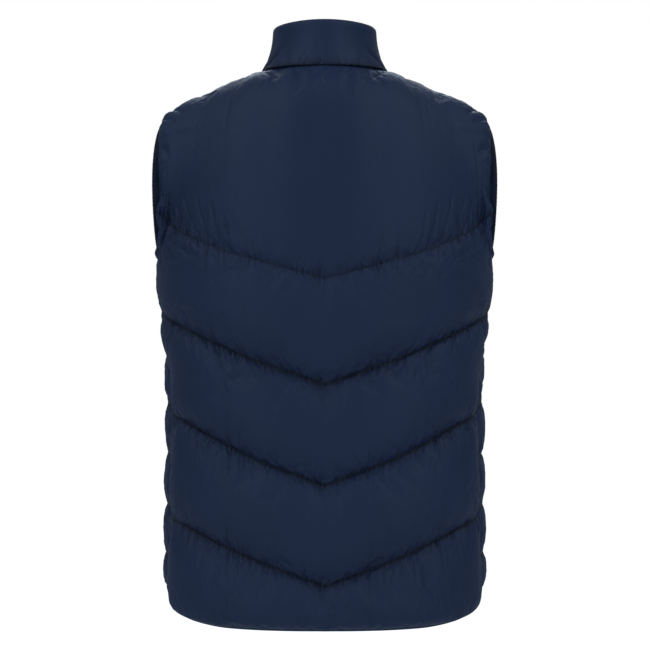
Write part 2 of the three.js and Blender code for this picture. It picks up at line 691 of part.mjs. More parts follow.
place("back_panel", backPanel());
place("back_yoke", backYoke());
place("collar", collar());
Object.entries({ left: 1, right: -1 }).forEach(([hand, sign]) => {
  place("front_" + hand, frontPanel(sign));
  place("armhole_binding_" + hand, armholeBinding(sign));
  place("zip_tape_" + hand, zipTape(sign));
});

// The slider at the top of the zip, and the pull tab on its pin.
const { centre, lean } = sliderPlace();
const zipTop = new THREE.Group();
zipTop.position.copy(centre);
zipTop.rotation.x = -lean;
vest.add(zipTop);
place("zip_slider", zipSlider(), zipTop);
const pull = zipPull();
pull.position.set(0, -FACE_OUT - PIVOT_OUT, 0);
place("zip_pull", pull, zipTop);

export default vest;
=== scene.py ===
"""A padded, chevron-quilted body warmer, seen from behind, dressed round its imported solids.

Metres. +X is the wearer's left, +Y the back, +Z up; the origin is where the shoulders carry it.
"""

import logging
import math
from dataclasses import dataclass, field, replace
from enum import Enum
from typing import Callable, NamedTuple, Sequence

import bmesh
import bpy
import numpy as np
from mathutils import Matrix, Vector


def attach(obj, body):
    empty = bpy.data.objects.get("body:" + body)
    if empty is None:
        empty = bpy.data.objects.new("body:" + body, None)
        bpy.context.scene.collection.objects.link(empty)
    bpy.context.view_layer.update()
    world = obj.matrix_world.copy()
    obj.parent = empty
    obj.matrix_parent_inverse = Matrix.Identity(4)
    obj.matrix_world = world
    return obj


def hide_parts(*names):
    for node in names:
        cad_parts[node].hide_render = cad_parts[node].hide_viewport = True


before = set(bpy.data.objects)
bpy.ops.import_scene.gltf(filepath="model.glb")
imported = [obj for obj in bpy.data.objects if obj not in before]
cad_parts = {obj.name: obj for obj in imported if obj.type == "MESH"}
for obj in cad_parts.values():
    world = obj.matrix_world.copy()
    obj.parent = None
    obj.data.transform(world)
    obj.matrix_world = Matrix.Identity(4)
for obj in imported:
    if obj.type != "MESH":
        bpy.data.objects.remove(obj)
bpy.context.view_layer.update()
LOG = logging.getLogger("vest")

Array = np.ndarray
Curve = Callable[[Array], Array]
# seam is a mask of painted shade that darkens the colour along stitched grooves; near and aside are
# distances to the gathered lines and the gathered side edge.
MARKS = ("seam", "near", "aside")
FAR = 1.0
EDGE_BULGE = 0.7


class Side(Enum):
    """The half of the garment that a panel belongs to."""

    BACK = "back"
    FRONT = "front"


class Hand(Enum):
    """The wearer's left or right, with the sign of its X."""

    LEFT = 1
    RIGHT = -1

    @property
    def word(self) -> str:
        """The hand as the end of a piece's name."""
        return self.name.lower()


def smooth(value: Array) -> Array:
    """An even S from 0 to 1."""
    held = np.clip(value, 0.0, 1.0)
    return held * held * (3.0 - 2.0 * held)


def plateau(distance: Array, reach: float) -> Array:
    """A rounded shoulder: 0 at the seam, and full height once `reach` away from it."""
    return np.sqrt(1.0 - (1.0 - np.clip(distance / reach, 0.0, 1.0)) ** 2)


def swell(distance: Array, reach: float) -> Array:
    """The same, but rising gently from the seam."""
    return np.sin(np.pi / 2.0 * np.clip(distance / reach, 0.0, 1.0))


def mix(a: Array, b: Array, share: Array) -> Array:
    """The value that lies `share` of the way from a to b."""
    return a + (b - a) * share


def hermite(a: Array, speed_a: Array, b: Array, speed_b: Array, share: Array) -> Array:
    """A cubic from a to b with the given end speeds."""
    s2 = share * share
    s3 = s2 * share
    return mix(a, b, 3.0 * s2 - 2.0 * s3) + speed_a * (s3 - 2.0 * s2 + share) + speed_b * (s3 - s2)


def table_curve(places: Sequence[float], values: Sequence[float]) -> Curve:
    """A smooth curve through a short table.

    Args:
        places: where the values hold, rising.
        values: the values there.

    Returns:
        A function of an array of places.
    """
    x = np.array(places, float)
    y = np.array(values, float)
    low = np.maximum(np.arange(len(x)) - 1, 0)
    high = np.minimum(np.arange(len(x)) + 1, len(x) - 1)
    slope = (y[high] - y[low]) / (x[high] - x[low])

    def curve(at: Array) -> Array:
        i = np.clip(np.searchsorted(x, at, side="right") - 1, 0, len(x) - 2)
        width = x[i + 1] - x[i]
        share = np.clip((at - x[i]) / width, 0.0, 1.0)
        return hermite(y[i], slope[i] * width, y[i + 1], slope[i + 1] * width, share)

    return curve


def bilinear(table: Array, row: Array, column: Array) -> Array:
    """The table's value between its rows and columns, given as fractional indices."""
    row, column = np.broadcast_arrays(row, column)
    i = np.clip(np.floor(row).astype(int), 0, table.shape[0] - 2)
    j = np.clip(np.floor(column).astype(int), 0, table.shape[1] - 2)
    down = np.clip(row - i, 0.0, 1.0)
    over = np.clip(column - j, 0.0, 1.0)
    low = mix(table[i, j], table[i, j + 1], over)
    high = mix(table[i + 1, j], table[i + 1, j + 1], over)
    return mix(low, high, down)


def handed(signed: Array) -> Array:
    """The sign of X at signed shares: 1 on the wearer's left and the middle, -1 on the right."""
    return np.sign(signed) + (signed == 0.0)


def unit(vectors: Array) -> Array:
    """The vectors, each of length one."""
    return vectors / np.maximum(np.linalg.norm(vectors, axis=-1, keepdims=True), 1e-12)


def stack(x: Array, y: Array, z: Array) -> Array:
    """Points from their three coordinates."""
    return np.stack(np.broadcast_arrays(x, y, z), axis=-1)


@dataclass
class Form:
    """The stitched surface that every panel lies on, from the same sizes as the solids.

    A place on it is a side, a share of the half panel (0 at the centre, 1 at the side seam or
    armhole) and a height: below 0 the drop under the underarm, above 0 the way to the top edge.
    """

    underarm: float = -0.245
    top: float = 0.220
    power: float = 2.25
    levels: tuple = (-0.700, -0.560, -0.440, -0.330, -0.245)
    half_widths: tuple = (0.194, 0.192, 0.191, 0.1955, 0.196)
    back_depths: tuple = (0.131, 0.130, 0.129, 0.132, 0.134)
    front_depths: tuple = (0.131, 0.131, 0.132, 0.136, 0.138)
    seam_levels: tuple = (-0.700, -0.400, -0.310, -0.245)
    seam_degrees: tuple = (79.0, 79.0, 90.0, 91.0)
    hem_degrees: tuple = (0.0, 46.0, 61.0, 69.0, 76.0, 82.0, 92.0, 120.0, 180.0)
    hem_levels: tuple = (-0.686, -0.684, -0.6785, -0.6715, -0.660, -0.650, -0.641, -0.638, -0.640)
    hem_level: float = -0.650
    shoulder_point: tuple = (0.199, 0.0, -0.068)
    neck_point: tuple = (0.074, 0.008, -0.005)
    back_neck: tuple = (0.078, -0.002)
    front_neck: tuple = (-0.097, -0.082)
    neck_bend: float = 1.35
    neck_share: dict = field(default_factory=lambda: {Side.BACK: 0.43, Side.FRONT: 0.53})
    neck_ease: dict = field(default_factory=lambda: {Side.BACK: 0.0, Side.FRONT: 0.37})
    shoulder_arch: float = 0.008
    centre_rise: dict = field(default_factory=lambda: {
        Side.BACK: (0.240, -0.110, 0.200), Side.FRONT: (0.150, 0.050, 0.140)})
    shoulder_roll: float = 0.220
    neck_draw: float = 0.150
    corner_rounding: float = 0.24
    corner_power: float = 5.0
    panel_rise: float = 0.190
    armhole_scoop: float = 0.300
    armhole_flare: float = 0.024
    underarm_rise: float = 0.060
    table_levels: int = 64
    table_shares: int = 256

    def __post_init__(self) -> None:
        """Works out the curves through the tables and the running lengths of the sections."""
        self.half_width = table_curve(self.levels, self.half_widths)
        self.depth = {Side.BACK: table_curve(self.levels, self.back_depths),
                      Side.FRONT: table_curve(self.levels, self.front_depths)}
        self.seam = table_curve(self.seam_levels, self.seam_degrees)
        self.hem = table_curve(self.hem_degrees, self.hem_levels)
        self.low = self.levels[0]
        self.degree_table: dict = {}
        self.length_table: dict = {}
        for side in Side:
            self.degree_table[side], self.length_table[side] = self.measured(side)

    def measured(self, side: Side) -> tuple:
        """Half sections by their running length.

        Args:
            side: the back or the front.

        Returns:
            The degrees at each level and share, and the half section's length at each level.
        """
        z = np.linspace(self.low, self.underarm, self.table_levels)[:, None]
        start = 0.0 if side is Side.BACK else 180.0
        degrees = mix(start, self.seam(z), np.linspace(0.0, 1.0, self.table_shares + 1)[None, :])
        points = self.level_point(z, degrees)
        steps = np.linalg.norm(np.diff(points, axis=1), axis=-1)
        lengths = np.concatenate([np.zeros((len(z), 1)), np.cumsum(steps, axis=1)], axis=1)
        shares = np.linspace(0.0, 1.0, self.table_shares + 1)
        rows = [np.interp(shares * run[-1], run, turn) for run, turn in zip(lengths, degrees)]
        return np.array(rows), lengths[:, -1]

    def level_point(self, z: Array, degrees: Array) -> Array:
        """Points of the level sections at heights z, by their angle from the centre back."""
        turn = np.radians(degrees)
        depth = np.where(degrees < 90.0, self.depth[Side.BACK](z), self.depth[Side.FRONT](z))
        across = np.abs(np.sin(turn) / self.half_width(z)) ** self.power
        along = np.abs(np.cos(turn) / depth) ** self.power
        radius = (across + along) ** (-1.0 / self.power)
        return stack(radius * np.sin(turn), radius * np.cos(turn), z)

    def row_of(self, z: Array) -> Array:
        """The fractional row of a level in the tables."""
        return (z - self.low) / (self.underarm - self.low) * (self.table_levels - 1)

    def half_length(self, side: Side, z: Array) -> Array:
        """The running length of half a section at level z."""
        held = np.clip(z, self.low, self.underarm)
        table = self.length_table[side]
        return np.interp(self.row_of(held), np.arange(len(table)), table)

    def degrees_at(self, side: Side, z: Array, share: Array) -> Array:
        """The angle of a share of the half section at level z."""
        return bilinear(self.degree_table[side], self.row_of(z), share * self.table_shares)

    def section_point(self, side: Side, z: Array, share: Array) -> Array:
        """Points below the underarm."""
        return self.level_point(z, self.degrees_at(side, z, share))

    def neckline(self, degrees: Array) -> Array:
        """The neckline by its turn from the centre back, past the neck point at 90 degrees."""
        forward = np.cos(np.radians(degrees))
        x, y, z = self.neck_point
        back = forward > 0.0
        ahead = np.abs(forward)
        at_y = np.where(back, mix(y, self.back_neck[0], ahead), mix(y, self.front_neck[0], ahead))
        back_z = mix(z, self.back_neck[1], ahead ** 2)
        front_z = mix(z, self.front_neck[1], ahead ** self.neck_bend)
        return stack(x * np.sin(np.radians(degrees)), at_y, np.where(back, back_z, front_z))

    def neck_turn(self, side: Side, share: Array) -> Array:
        """The neckline's turn at a share of the half panel, up to the neck point."""
        along = share / self.neck_share[side]
        turn = 90.0 * (along + self.neck_ease[side] * along * (1.0 - along))
        return turn if side is Side.BACK else 180.0 - turn

    def top_edge(self, side: Side, share: Array) -> Array:
        """A panel's top edge: its half of the neckline, then the shoulder seam."""
        neck = self.neck_share[side]
        out = (share - neck) / (1.0 - neck)
        at_neck = self.neckline(self.neck_turn(side, np.minimum(share, neck)))
        seam = mix(np.array(self.neck_point), np.array(self.shoulder_point), out[..., None])
        seam[..., 2] += self.shoulder_arch * 6.75 * out * out * (1.0 - out)
        return np.where((share < neck)[..., None], at_neck, seam)

    def rounded_top(self, side: Side, share: Array) -> Array:
        """The top edge with its corner at the neck point rounded away."""
        window = self.corner_rounding * smooth((1.0 - share) / 0.4) * smooth(share / 0.3)
        steps = np.linspace(-1.0, 1.0, 9)
        return sum(self.top_edge(side, share + window * step) for step in steps) / len(steps)

    def upper_point(self, side: Side, share: Array, rise: Array) -> Array:
        """The panel above the underarm: columns that rise from the section to the top edge."""
        facing = 1.0 if side is Side.BACK else -1.0
        level = np.full_like(share, self.underarm)
        start = self.section_point(side, level, share)
        inward = unit(self.section_point(side, level, np.maximum(0.0, share - 0.01)) - start)
        end = self.rounded_top(side, share)
        corner = (self.top_edge(side, share) - end) * (rise ** self.corner_power)[..., None]
        begin, end_y, end_z = self.centre_rise[side]
        neck = self.neck_share[side]
        scoop = share ** 5
        over = smooth(share / neck)
        seam_out = np.clip((share - neck) / (1.0 - neck), 0.0, 1.0)
        first = inward * (self.armhole_scoop * scoop)[..., None]
        first[..., 0] += self.armhole_flare * scoop
        first[..., 2] = mix(mix(begin, self.panel_rise, over), self.underarm_rise, scoop)
        along = neck + np.minimum(seam_out, 0.98) * (1.0 - neck)
        last = unit(self.top_edge(side, along) - self.top_edge(side, along + 0.01))
        last = last * (self.neck_draw * (1.0 - seam_out))[..., None]
        last[..., 0] -= self.armhole_flare * scoop
        last[..., 1] -= facing * self.shoulder_roll
        last = mix(last, np.array((0.0, end_y, end_z)), (1.0 - over)[..., None])
        return hermite(start, first, end, last, rise[..., None]) + corner

    def surface(self, side: Side, share: Array, height: Array) -> Array:
        """Points of the stitched surface."""
        share, height = np.broadcast_arrays(share, height)
        below = self.section_point(side, self.underarm + np.minimum(height, 0.0), share)
        above = self.upper_point(side, share, np.clip(height / self.top, 0.0, 1.0))
        return np.where((height <= 0.0)[..., None], below, above)

    def height_of(self, side: Side, share: Array, level: Array) -> Array:
        """The height at which each column passes a level."""
        low = np.zeros_like(share)
        high = np.full_like(share, self.top)
        for _ in range(30):
            middle = (low + high) / 2.0
            under = self.surface(side, share, middle)[..., 2] < level
            low = np.where(under, middle, low)
            high = np.where(under, high, middle)
        return np.where(level <= self.underarm, level - self.underarm, low)

    def hem_height(self, side: Side) -> Curve:
        """The hem as heights over the share of a half panel."""
        def curve(share: Array) -> Array:
            level = np.full_like(share, self.hem_level)
            return self.hem(self.degrees_at(side, level, share)) - self.underarm
        return curve


class Octave(NamedTuple):
    """One size of the puckers that a stitched line draws into the cloth."""

    spacing: float
    reach: float
    depth: float


class Crease(NamedTuple):
    """One fold: a soft trough, or a ridge where its depth is below nought."""

    share: float
    height: float
    to_share: float
    to_height: float
    width: float
    depth: float


@dataclass
class Bay:
    """A stuffed channel between two stitched lines.

    Its crown is the loft, its reach the distance over which it rises from a line, and its floors
    are the share of the loft that is left at its lower and its upper line. Each line also says how
    much painted shade darkens its groove and how much longer than usual its gathers are.
    """

    crown: float
    reach: float
    low_floor: float = 0.0
    high_floor: float = 0.0
    top_reach: float = 0.0
    hem: bool = False
    low_dark: float = 1.0
    high_dark: float = 1.0
    low_longer: float = 1.0
    high_longer: float = 1.0


def on_both_sides(creases: Sequence[Crease], seed: int) -> tuple:
    """Mirrors the creases of the wearer's left to the right, each a little different.

    Args:
        creases: the creases of the left.
        seed: starts the random differences.

    Returns:
        The creases of both sides.
    """
    random = np.random.default_rng(seed)
    mirrored = []
    for crease in creases:
        near, far = random.normal(0.0, 0.006, 2)
        mirrored.append(crease._replace(
            share=-crease.share + near, to_share=-crease.to_share + far,
            height=crease.height + random.normal(0.0, 0.0012),
            depth=crease.depth * random.uniform(0.75, 1.15)))
    return (*creases, *mirrored)


YOKE_CREASES = on_both_sides((
    Crease(0.965, 0.207, 0.820, 0.168, 0.0030, 0.0024),
    Crease(0.990, 0.192, 0.862, 0.160, 0.0028, 0.0022),
    Crease(0.979, 0.149, 0.905, 0.130, 0.0045, 0.0036),
    Crease(0.972, 0.158, 0.674, 0.141, 0.0060, -0.0024),
    Crease(0.995, 0.108, 0.940, 0.096, 0.0024, 0.0020),
    Crease(0.770, 0.070, 0.645, 0.034, 0.0024, 0.0022),
    Crease(0.695, 0.072, 0.565, 0.030, 0.0022, 0.0021),
    Crease(0.594, 0.072, 0.512, 0.027, 0.0022, 0.0019),
    Crease(0.866, 0.078, 0.762, 0.043, 0.0022, 0.0021),
    Crease(0.502, 0.063, 0.457, 0.022, 0.0024, 0.0015),
    Crease(0.435, 0.054, 0.411, 0.018, 0.0022, 0.0011),
    Crease(0.297, 0.2035, 0.213, 0.196, 0.0025, 0.0024),
), 61)

BACK_CREASES = on_both_sides((
    Crease(0.820, 0.040, 0.582, 0.008, 0.0032, 0.0026),
    Crease(0.883, 0.044, 0.665, 0.004, 0.0030, 0.0023),
    Crease(0.935, 0.046, 0.790, 0.004, 0.0028, 0.0020),
    Crease(0.561, -0.076, 0.536, -0.098, 0.0017, 0.0014),
    Crease(0.435, -0.089, 0.410, -0.107, 0.0016, 0.0012),
    Crease(0.623, -0.087, 0.678, -0.111, 0.0017, 0.0014),
    Crease(0.674, -0.068, 0.653, -0.082, 0.0017, 0.0015),
    Crease(0.460, -0.210, 0.427, -0.228, 0.0016, 0.0014),
    Crease(0.990, -0.190, 0.874, -0.184, 0.0022, 0.0018),
), 62) + (
    Crease(-0.003, -0.148, -0.031, -0.159, 0.0017, 0.0018),
    Crease(-0.003, -0.269, -0.035, -0.282, 0.0017, 0.0018),
)


class Puckers:
    """The small gathers beside stitched lines, finer near the line and longer away from it."""

    OCTAVES = (
        Octave(0.0062, 0.012, 0.0016),
        Octave(0.0125, 0.026, 0.0024),
        Octave(0.028, 0.055, 0.0026),
    )
    SPAN = 0.72
    WIDTH = 0.27
    RISE = 0.06

    def __init__(self, seed: int, strength: float) -> None:
        """Args: seed starts the random places, strength scales every depth."""
        self.random = np.random.default_rng(seed)
        self.strength = strength

    def beside(self, along: Array, away: Array, gain: Array) -> Array:
        """How far the puckers of one side of a line push the cloth in.

        Args:
            along: each point's place along the line.
            away: its distance from the line.
            gain: how strongly that stretch of the line is gathered.

        Returns:
            The depth at each point.
        """
        depth = np.zeros(np.broadcast(along, away).shape)
        for octave in self.OCTAVES:
            count = int(2.0 * self.SPAN / octave.spacing)
            places = (np.arange(count) + self.random.uniform(-0.4, 0.4, count)) * octave.spacing
            reaches = octave.reach * self.random.uniform(0.45, 1.35, count)
            depths = octave.depth * self.random.uniform(0.15, 1.0, count)
            slants = self.random.normal(0.0, 0.16, count)
            widths = octave.spacing * self.WIDTH * self.random.uniform(0.7, 1.3, count)
            near = np.abs(away).min(axis=1) < octave.reach * 1.4
            for place, reach, size, slant, width in zip(
                    places - self.SPAN, reaches, depths, slants, widths):
                if not along.min() - 0.01 < place < along.max() + 0.01:
                    continue
                bell = np.exp(-((along[near] + slant * away[near] - place) / width) ** 2)
                share = np.clip(away[near] / reach, 0.0, 1.0)
                fade = (1.0 - np.exp(-share / self.RISE)) * (1.0 - share) ** 1.5
                depth[near] += size * bell * fade
        return depth * gain * self.strength


@dataclass
class PanelPlan:
    """What a maker marks on a panel: its lines from hem to top, and the bays between them."""

    side: Side
    lines: list
    bays: list
    rows: list
    columns: int
    seed: int
    strength: float = 1.0
    edge_gather: float = 0.6
    creases: tuple = ()


@dataclass
class Skin:
    """A grid of points for the outside of a padded wall, with its plain inside and its pattern.

    The relief is how far its puckers and creases press in along the normals. The marks are a mask
    of painted shade along its stitched grooves, and the distances to the nearest gathered line and
    to the gathered side edge. The lines are the numbers of the rows that are stitched through.
    """

    outer: Array
    inner: Array
    normal: Array
    relief: Array
    cloth: Array
    marks: Array
    lines: tuple = ()
    hem: bool = False

    def pressed(self) -> "Skin":
        """The skin with its relief pressed in."""
        outer = self.outer - self.normal * self.relief[..., None]
        return replace(self, outer=outer, relief=np.zeros_like(self.relief))

    def upside_down(self) -> "Skin":
        """The skin with its last row first."""
        grids = {name: getattr(self, name)[::-1]
                 for name in ("outer", "inner", "normal", "relief", "cloth", "marks")}
        return replace(self, **grids)

    def turned(self, turns: Sequence[float]) -> "Skin":
        """Rounds the first edge, where the outside turns over to the inside.

        Args:
            turns: the places of the added rows on the half circle, from 0 to 1.

        Returns:
            The skin with those rows added before its first one.
        """
        middle = (self.outer[:1] + self.inner[:1]) / 2.0
        out = (self.outer[:1] - self.inner[:1]) / 2.0
        down = unit(self.inner[:1] - self.inner[1:2])
        half = np.linalg.norm(out, axis=-1, keepdims=True)
        bulge = down * half * EDGE_BULGE
        rows = [middle - out * math.cos(math.pi * turn) + bulge * math.sin(math.pi * turn)
                for turn in turns]
        count = len(rows)
        grids = {name: np.concatenate([np.repeat(getattr(self, name)[:1], count, axis=0),
                                       getattr(self, name)])
                 for name in ("inner", "normal", "relief", "cloth", "marks")}
        lines = tuple(row + count for row in self.lines)
        return replace(self, outer=np.concatenate([*rows, self.outer]), lines=lines, **grids)


def trough(crease: Crease, signed: Array, height: Array, total: float) -> Array:
    """The depth that one crease presses into a panel.

    Args:
        crease: the fold.
        signed: signed shares of the half panel.
        height: heights on the surface.
        total: the half panel's running length.

    Returns:
        The depth at each point.
    """
    start = np.array((crease.share * total, crease.height))
    run = np.array((crease.to_share * total, crease.to_height)) - start
    long = np.linalg.norm(run)
    ahead = run / long
    x = signed * total - start[0]
    y = height - start[1]
    along = (x * ahead[0] + y * ahead[1]) / long
    away = x * ahead[1] - y * ahead[0]
    body = np.sin(np.pi * mix(0.12, 0.88, np.clip(along, 0.0, 1.0))) ** 0.7
    past = np.maximum(np.abs(along - 0.5) - 0.5, 0.0) * long
    return crease.depth * body * np.exp(-(away / crease.width) ** 2 - (past / crease.width) ** 2)


def spaced(count: int, crowding: float = 0.6) -> Array:
    """Shares from 0 to 1 that lie closer together towards both ends."""
    even = np.linspace(0.0, 1.0, count + 1)
    return mix(even, (1.0 - np.cos(np.pi * even)) / 2.0, crowding)


@dataclass
class Tailor:
    """Cuts and stuffs the quilted panels."""

    form: Form
    wall: float = 0.003
    back_crown: float = 0.014
    yoke_crown: float = 0.012
    front_crown: float = 0.0075
    back_reach: float = 0.048
    front_reach: float = 0.030
    shoulder_reach: float = 0.040
    seam_reach: float = 0.040
    armhole_reach: float = 0.018
    side_floor: float = 0.72
    side_from: float = 0.62
    tuck: float = 0.42
    tuck_height: float = -0.125
    tuck_span: float = 0.045
    tuck_from: tuple = (0.6, 0.3)
    channel_floor: float = 0.22
    yoke_floor: float = 0.86
    hem_fullness: float = 0.3
    lowest: float = -0.634
    step: float = 0.1215
    slope: float = 0.365
    lifts: tuple = (0.003, 0.010, 0.013)
    yoke_centre: float = -0.2625
    yoke_slope: float = 0.27
    yoke_lift: float = 0.007
    lift_from: float = 0.38
    front_slope: float = 0.22
    zip_half: float = 0.008
    gap: float = 0.00005
    centre_fold: float = 0.0026
    centre_fold_width: float = 0.024
    roll: float = 0.0110
    roll_place: float = 0.0045
    roll_top: float = 0.105
    roll_fades: tuple = (0.03, 0.035)
    gathers: tuple = (0.5, 1.25)
    shoulder_gather: float = 0.8
    shoulder_from: tuple = (0.5, 0.4)
    zip_gather: float = 0.7
    # How far the painted shade that darkens the colour beside a stitched line spreads.
    seam_width: float = 0.0024
    gather_lengths: tuple = (0.75, 1.7)
    lengths_from: tuple = (0.25, 0.6)
    armhole_from: float = 0.06
    deepest: float = 0.6
    hem_turns: tuple = (0.12, 0.32, 0.5, 0.68, 0.88)
    inside_stride: int = 4

    def back_line(self, centre: float, slope: float, lift: float) -> Curve:
        """A chevron line of the back, straight in the flat panel, then lifted towards its side."""
        form = self.form
        total = form.half_length(Side.BACK, min(form.underarm, centre))

        def curve(share: Array) -> Array:
            """The line's height at shares of the half panel."""
            risen = lift * swell(share - self.lift_from, 1.0 - self.lift_from)
            return form.height_of(Side.BACK, share, centre + slope * share * total + risen)

        return curve

    def front_line(self, seam_height: float) -> Curve:
        """A line of the front, rising from the side seam to the zip."""
        form = self.form
        level = form.underarm + seam_height
        total = form.half_length(Side.FRONT, level)
        return lambda share: form.height_of(
            Side.FRONT, share, level + self.front_slope * (1.0 - share) * total)

    def back_lines(self) -> list:
        """The stitched chevrons of the back, lowest first."""
        return [self.back_line(self.lowest + k * self.step, self.slope, lift)
                for k, lift in enumerate(self.lifts)]

    def front_lines(self) -> list:
        """The front's lines, which meet the back's at the side seam, and halfway between them."""
        seam = [float(line(np.ones(1))[0]) for line in self.back_lines()]
        heights = [seam[0] - self.step / 2.0]
        for k, height in enumerate(seam):
            above = seam[k + 1] if k + 1 < len(seam) else height + self.step
            heights += [height, (height + above) / 2.0]
        return [self.front_line(height) for height in heights]

    def yoke_seam(self) -> Curve:
        """The seam between the back and its yoke."""
        return self.back_line(self.yoke_centre, self.yoke_slope, self.yoke_lift)

    def top_height(self, share: Array) -> Array:
        """The neckline and shoulder seam as a line."""
        return np.full_like(share, self.form.top)

    def back_plan(self) -> PanelPlan:
        """The lower back: three stitched chevrons between the hem and the yoke seam."""
        lines = [self.form.hem_height(Side.BACK), *self.back_lines(), self.yoke_seam()]
        floor = self.channel_floor
        bays = [Bay(self.back_crown, self.back_reach, floor, floor) for _ in lines[1:]]
        bays[0].hem = True
        bays[-1].high_floor = self.yoke_floor
        # The yoke seam gets half the painted shade of a stitched channel.
        bays[-1].high_dark = 0.5
        bays[-1].high_longer = 1.2
        return PanelPlan(Side.BACK, lines, bays, [32, 48, 48, 56], 408, seed=11,
                         creases=BACK_CREASES)

    def yoke_plan(self) -> PanelPlan:
        """The plain padded yoke across the shoulder blades."""
        floor = self.yoke_floor * self.back_crown / self.yoke_crown
        # Half the painted shade at the yoke seam, and none along the top edge.
        bay = Bay(self.yoke_crown, self.back_reach, floor, top_reach=self.shoulder_reach,
                  low_dark=0.5, high_dark=0.0, low_longer=1.5)
        lines = [self.yoke_seam(), self.top_height]
        return PanelPlan(Side.BACK, lines, [bay], [128], 408, seed=23, strength=1.5,
                         creases=YOKE_CREASES)

    def front_plan(self, hand: Hand) -> PanelPlan:
        """A front, with bays half as tall as the back's."""
        lines = [self.form.hem_height(Side.FRONT), *self.front_lines(), self.top_height]
        bays = [Bay(self.front_crown, self.front_reach) for _ in lines[2:]]
        bays[0].hem = True
        bays.append(Bay(self.yoke_crown, self.back_reach, top_reach=self.shoulder_reach))
        rows = [14] + [26] * (len(bays) - 2) + [84]
        return PanelPlan(Side.FRONT, lines, bays, rows, 200, seed=37 + hand.value, strength=0.8)

    def shares(self, plan: PanelPlan, hand: int) -> Array:
        """Signed shares of a panel's columns, closer together towards the side seam."""
        whole = plan.side is Side.BACK
        even = np.linspace(-1.0 if whole else 0.0, 1.0, plan.columns + 1)
        crowded = mix(even, np.sign(even) * np.sin(np.abs(even) * np.pi / 2.0), 0.3)
        if whole:
            return crowded
        total = self.form.half_length(Side.FRONT, self.form.underarm)
        return mix((self.zip_half + self.gap) / total, 1.0, crowded) * hand

    def loft(self, plan: PanelPlan, k: int, across: Array, height: Array,
             below: Array, above: Array) -> Array:
        """How far a bay stands off the stitched surface.

        Args:
            plan: the panel.
            k: the bay's number.
            across: shares of the half panel.
            height: heights on the surface.
            below: the distance over the bay's lower line.
            above: the distance under its upper line.

        Returns:
            The loft of each point, without puckers.
        """
        bay = plan.bays[k]
        width = self.form.half_length(plan.side, self.form.underarm)
        at_side = self.side_floor * smooth((across - self.side_from) / (1.0 - self.side_from))
        if bay.hem:
            low = mix(self.hem_fullness, 1.0, plateau(below, bay.reach / 3.0))
        else:
            low = mix(np.maximum(bay.low_floor * (1.0 - across ** 6), at_side), 1.0,
                      plateau(below, bay.reach))
        if bay.top_reach:
            high = swell(above, bay.top_reach)
        else:
            high = mix(np.maximum(bay.high_floor * (1.0 - across ** 6), at_side), 1.0,
                       plateau(above, bay.reach))
        reach = mix(self.seam_reach, self.armhole_reach, smooth(height / self.armhole_from))
        start, span = self.tuck_from
        tuck = np.exp(-((height - self.tuck_height) / self.tuck_span) ** 2)
        tuck = tuck * smooth((across - start) / span)
        beside = plateau((1.0 - across) * width, reach) * (1.0 - self.tuck * tuck)
        if plan.side is Side.FRONT:
            beside = beside * plateau(across * width - self.zip_half, self.seam_reach)
        return bay.crown * low * high * beside

    def cut(self, plan: PanelPlan, hand: int = 1) -> Skin:
        """Shapes a panel: stuffed and puckered outside, plain inside.

        Args:
            plan: the panel's lines, bays and grid.
            hand: 1 for the wearer's left or the whole back, -1 for the right.

        Returns:
            The panel's skin, its first row at the hem or lower seam.
        """
        signed = self.shares(plan, hand)[None, :]
        across = np.abs(signed)
        puckers = Puckers(plan.seed, plan.strength)
        total = self.form.half_length(plan.side, self.form.underarm)
        edges = [line(across[0])[None, :] for line in plan.lines]
        heights, lofts, reliefs, marks = [], [], [], []
        for k, bay in enumerate(plan.bays):
            rows = spaced(plan.rows[k])[1 if k else 0:, None]
            height = mix(edges[k], edges[k + 1], rows)
            below = height - edges[k]
            above = edges[k + 1] - height
            along = np.broadcast_to(signed * total, height.shape)
            gain = mix(*self.gathers, np.broadcast_to(across, height.shape) ** 2)
            loft = self.loft(plan, k, across, height, below, above)
            relief = np.zeros_like(height)
            if not bay.hem:
                relief += puckers.beside(along, below, gain)
            start, span = self.shoulder_from
            at_top = self.shoulder_gather * smooth((across - start) / span)
            relief += puckers.beside(along, above, at_top if bay.top_reach else gain)
            edge_gain = np.full_like(height, plan.edge_gather)
            aside = np.broadcast_to((1.0 - across) * total, height.shape)
            relief += puckers.beside(height.T, aside.T, edge_gain.T).T
            if plan.side is Side.FRONT:
                beside = np.broadcast_to(across * total - self.zip_half, height.shape)
                relief += puckers.beside(height.T, beside.T, self.zip_gather * edge_gain.T).T
            fold = np.exp(-(signed * total / self.centre_fold_width) ** 2) * self.centre_fold
            fold = fold * (loft / bay.crown) * (plan.side is Side.BACK)
            heights.append(height)
            lofts.append(loft - fold)
            reliefs.append(np.minimum(relief, self.deepest * loft))
            near = np.minimum(above if bay.hem else below, below if bay.top_reach else above)
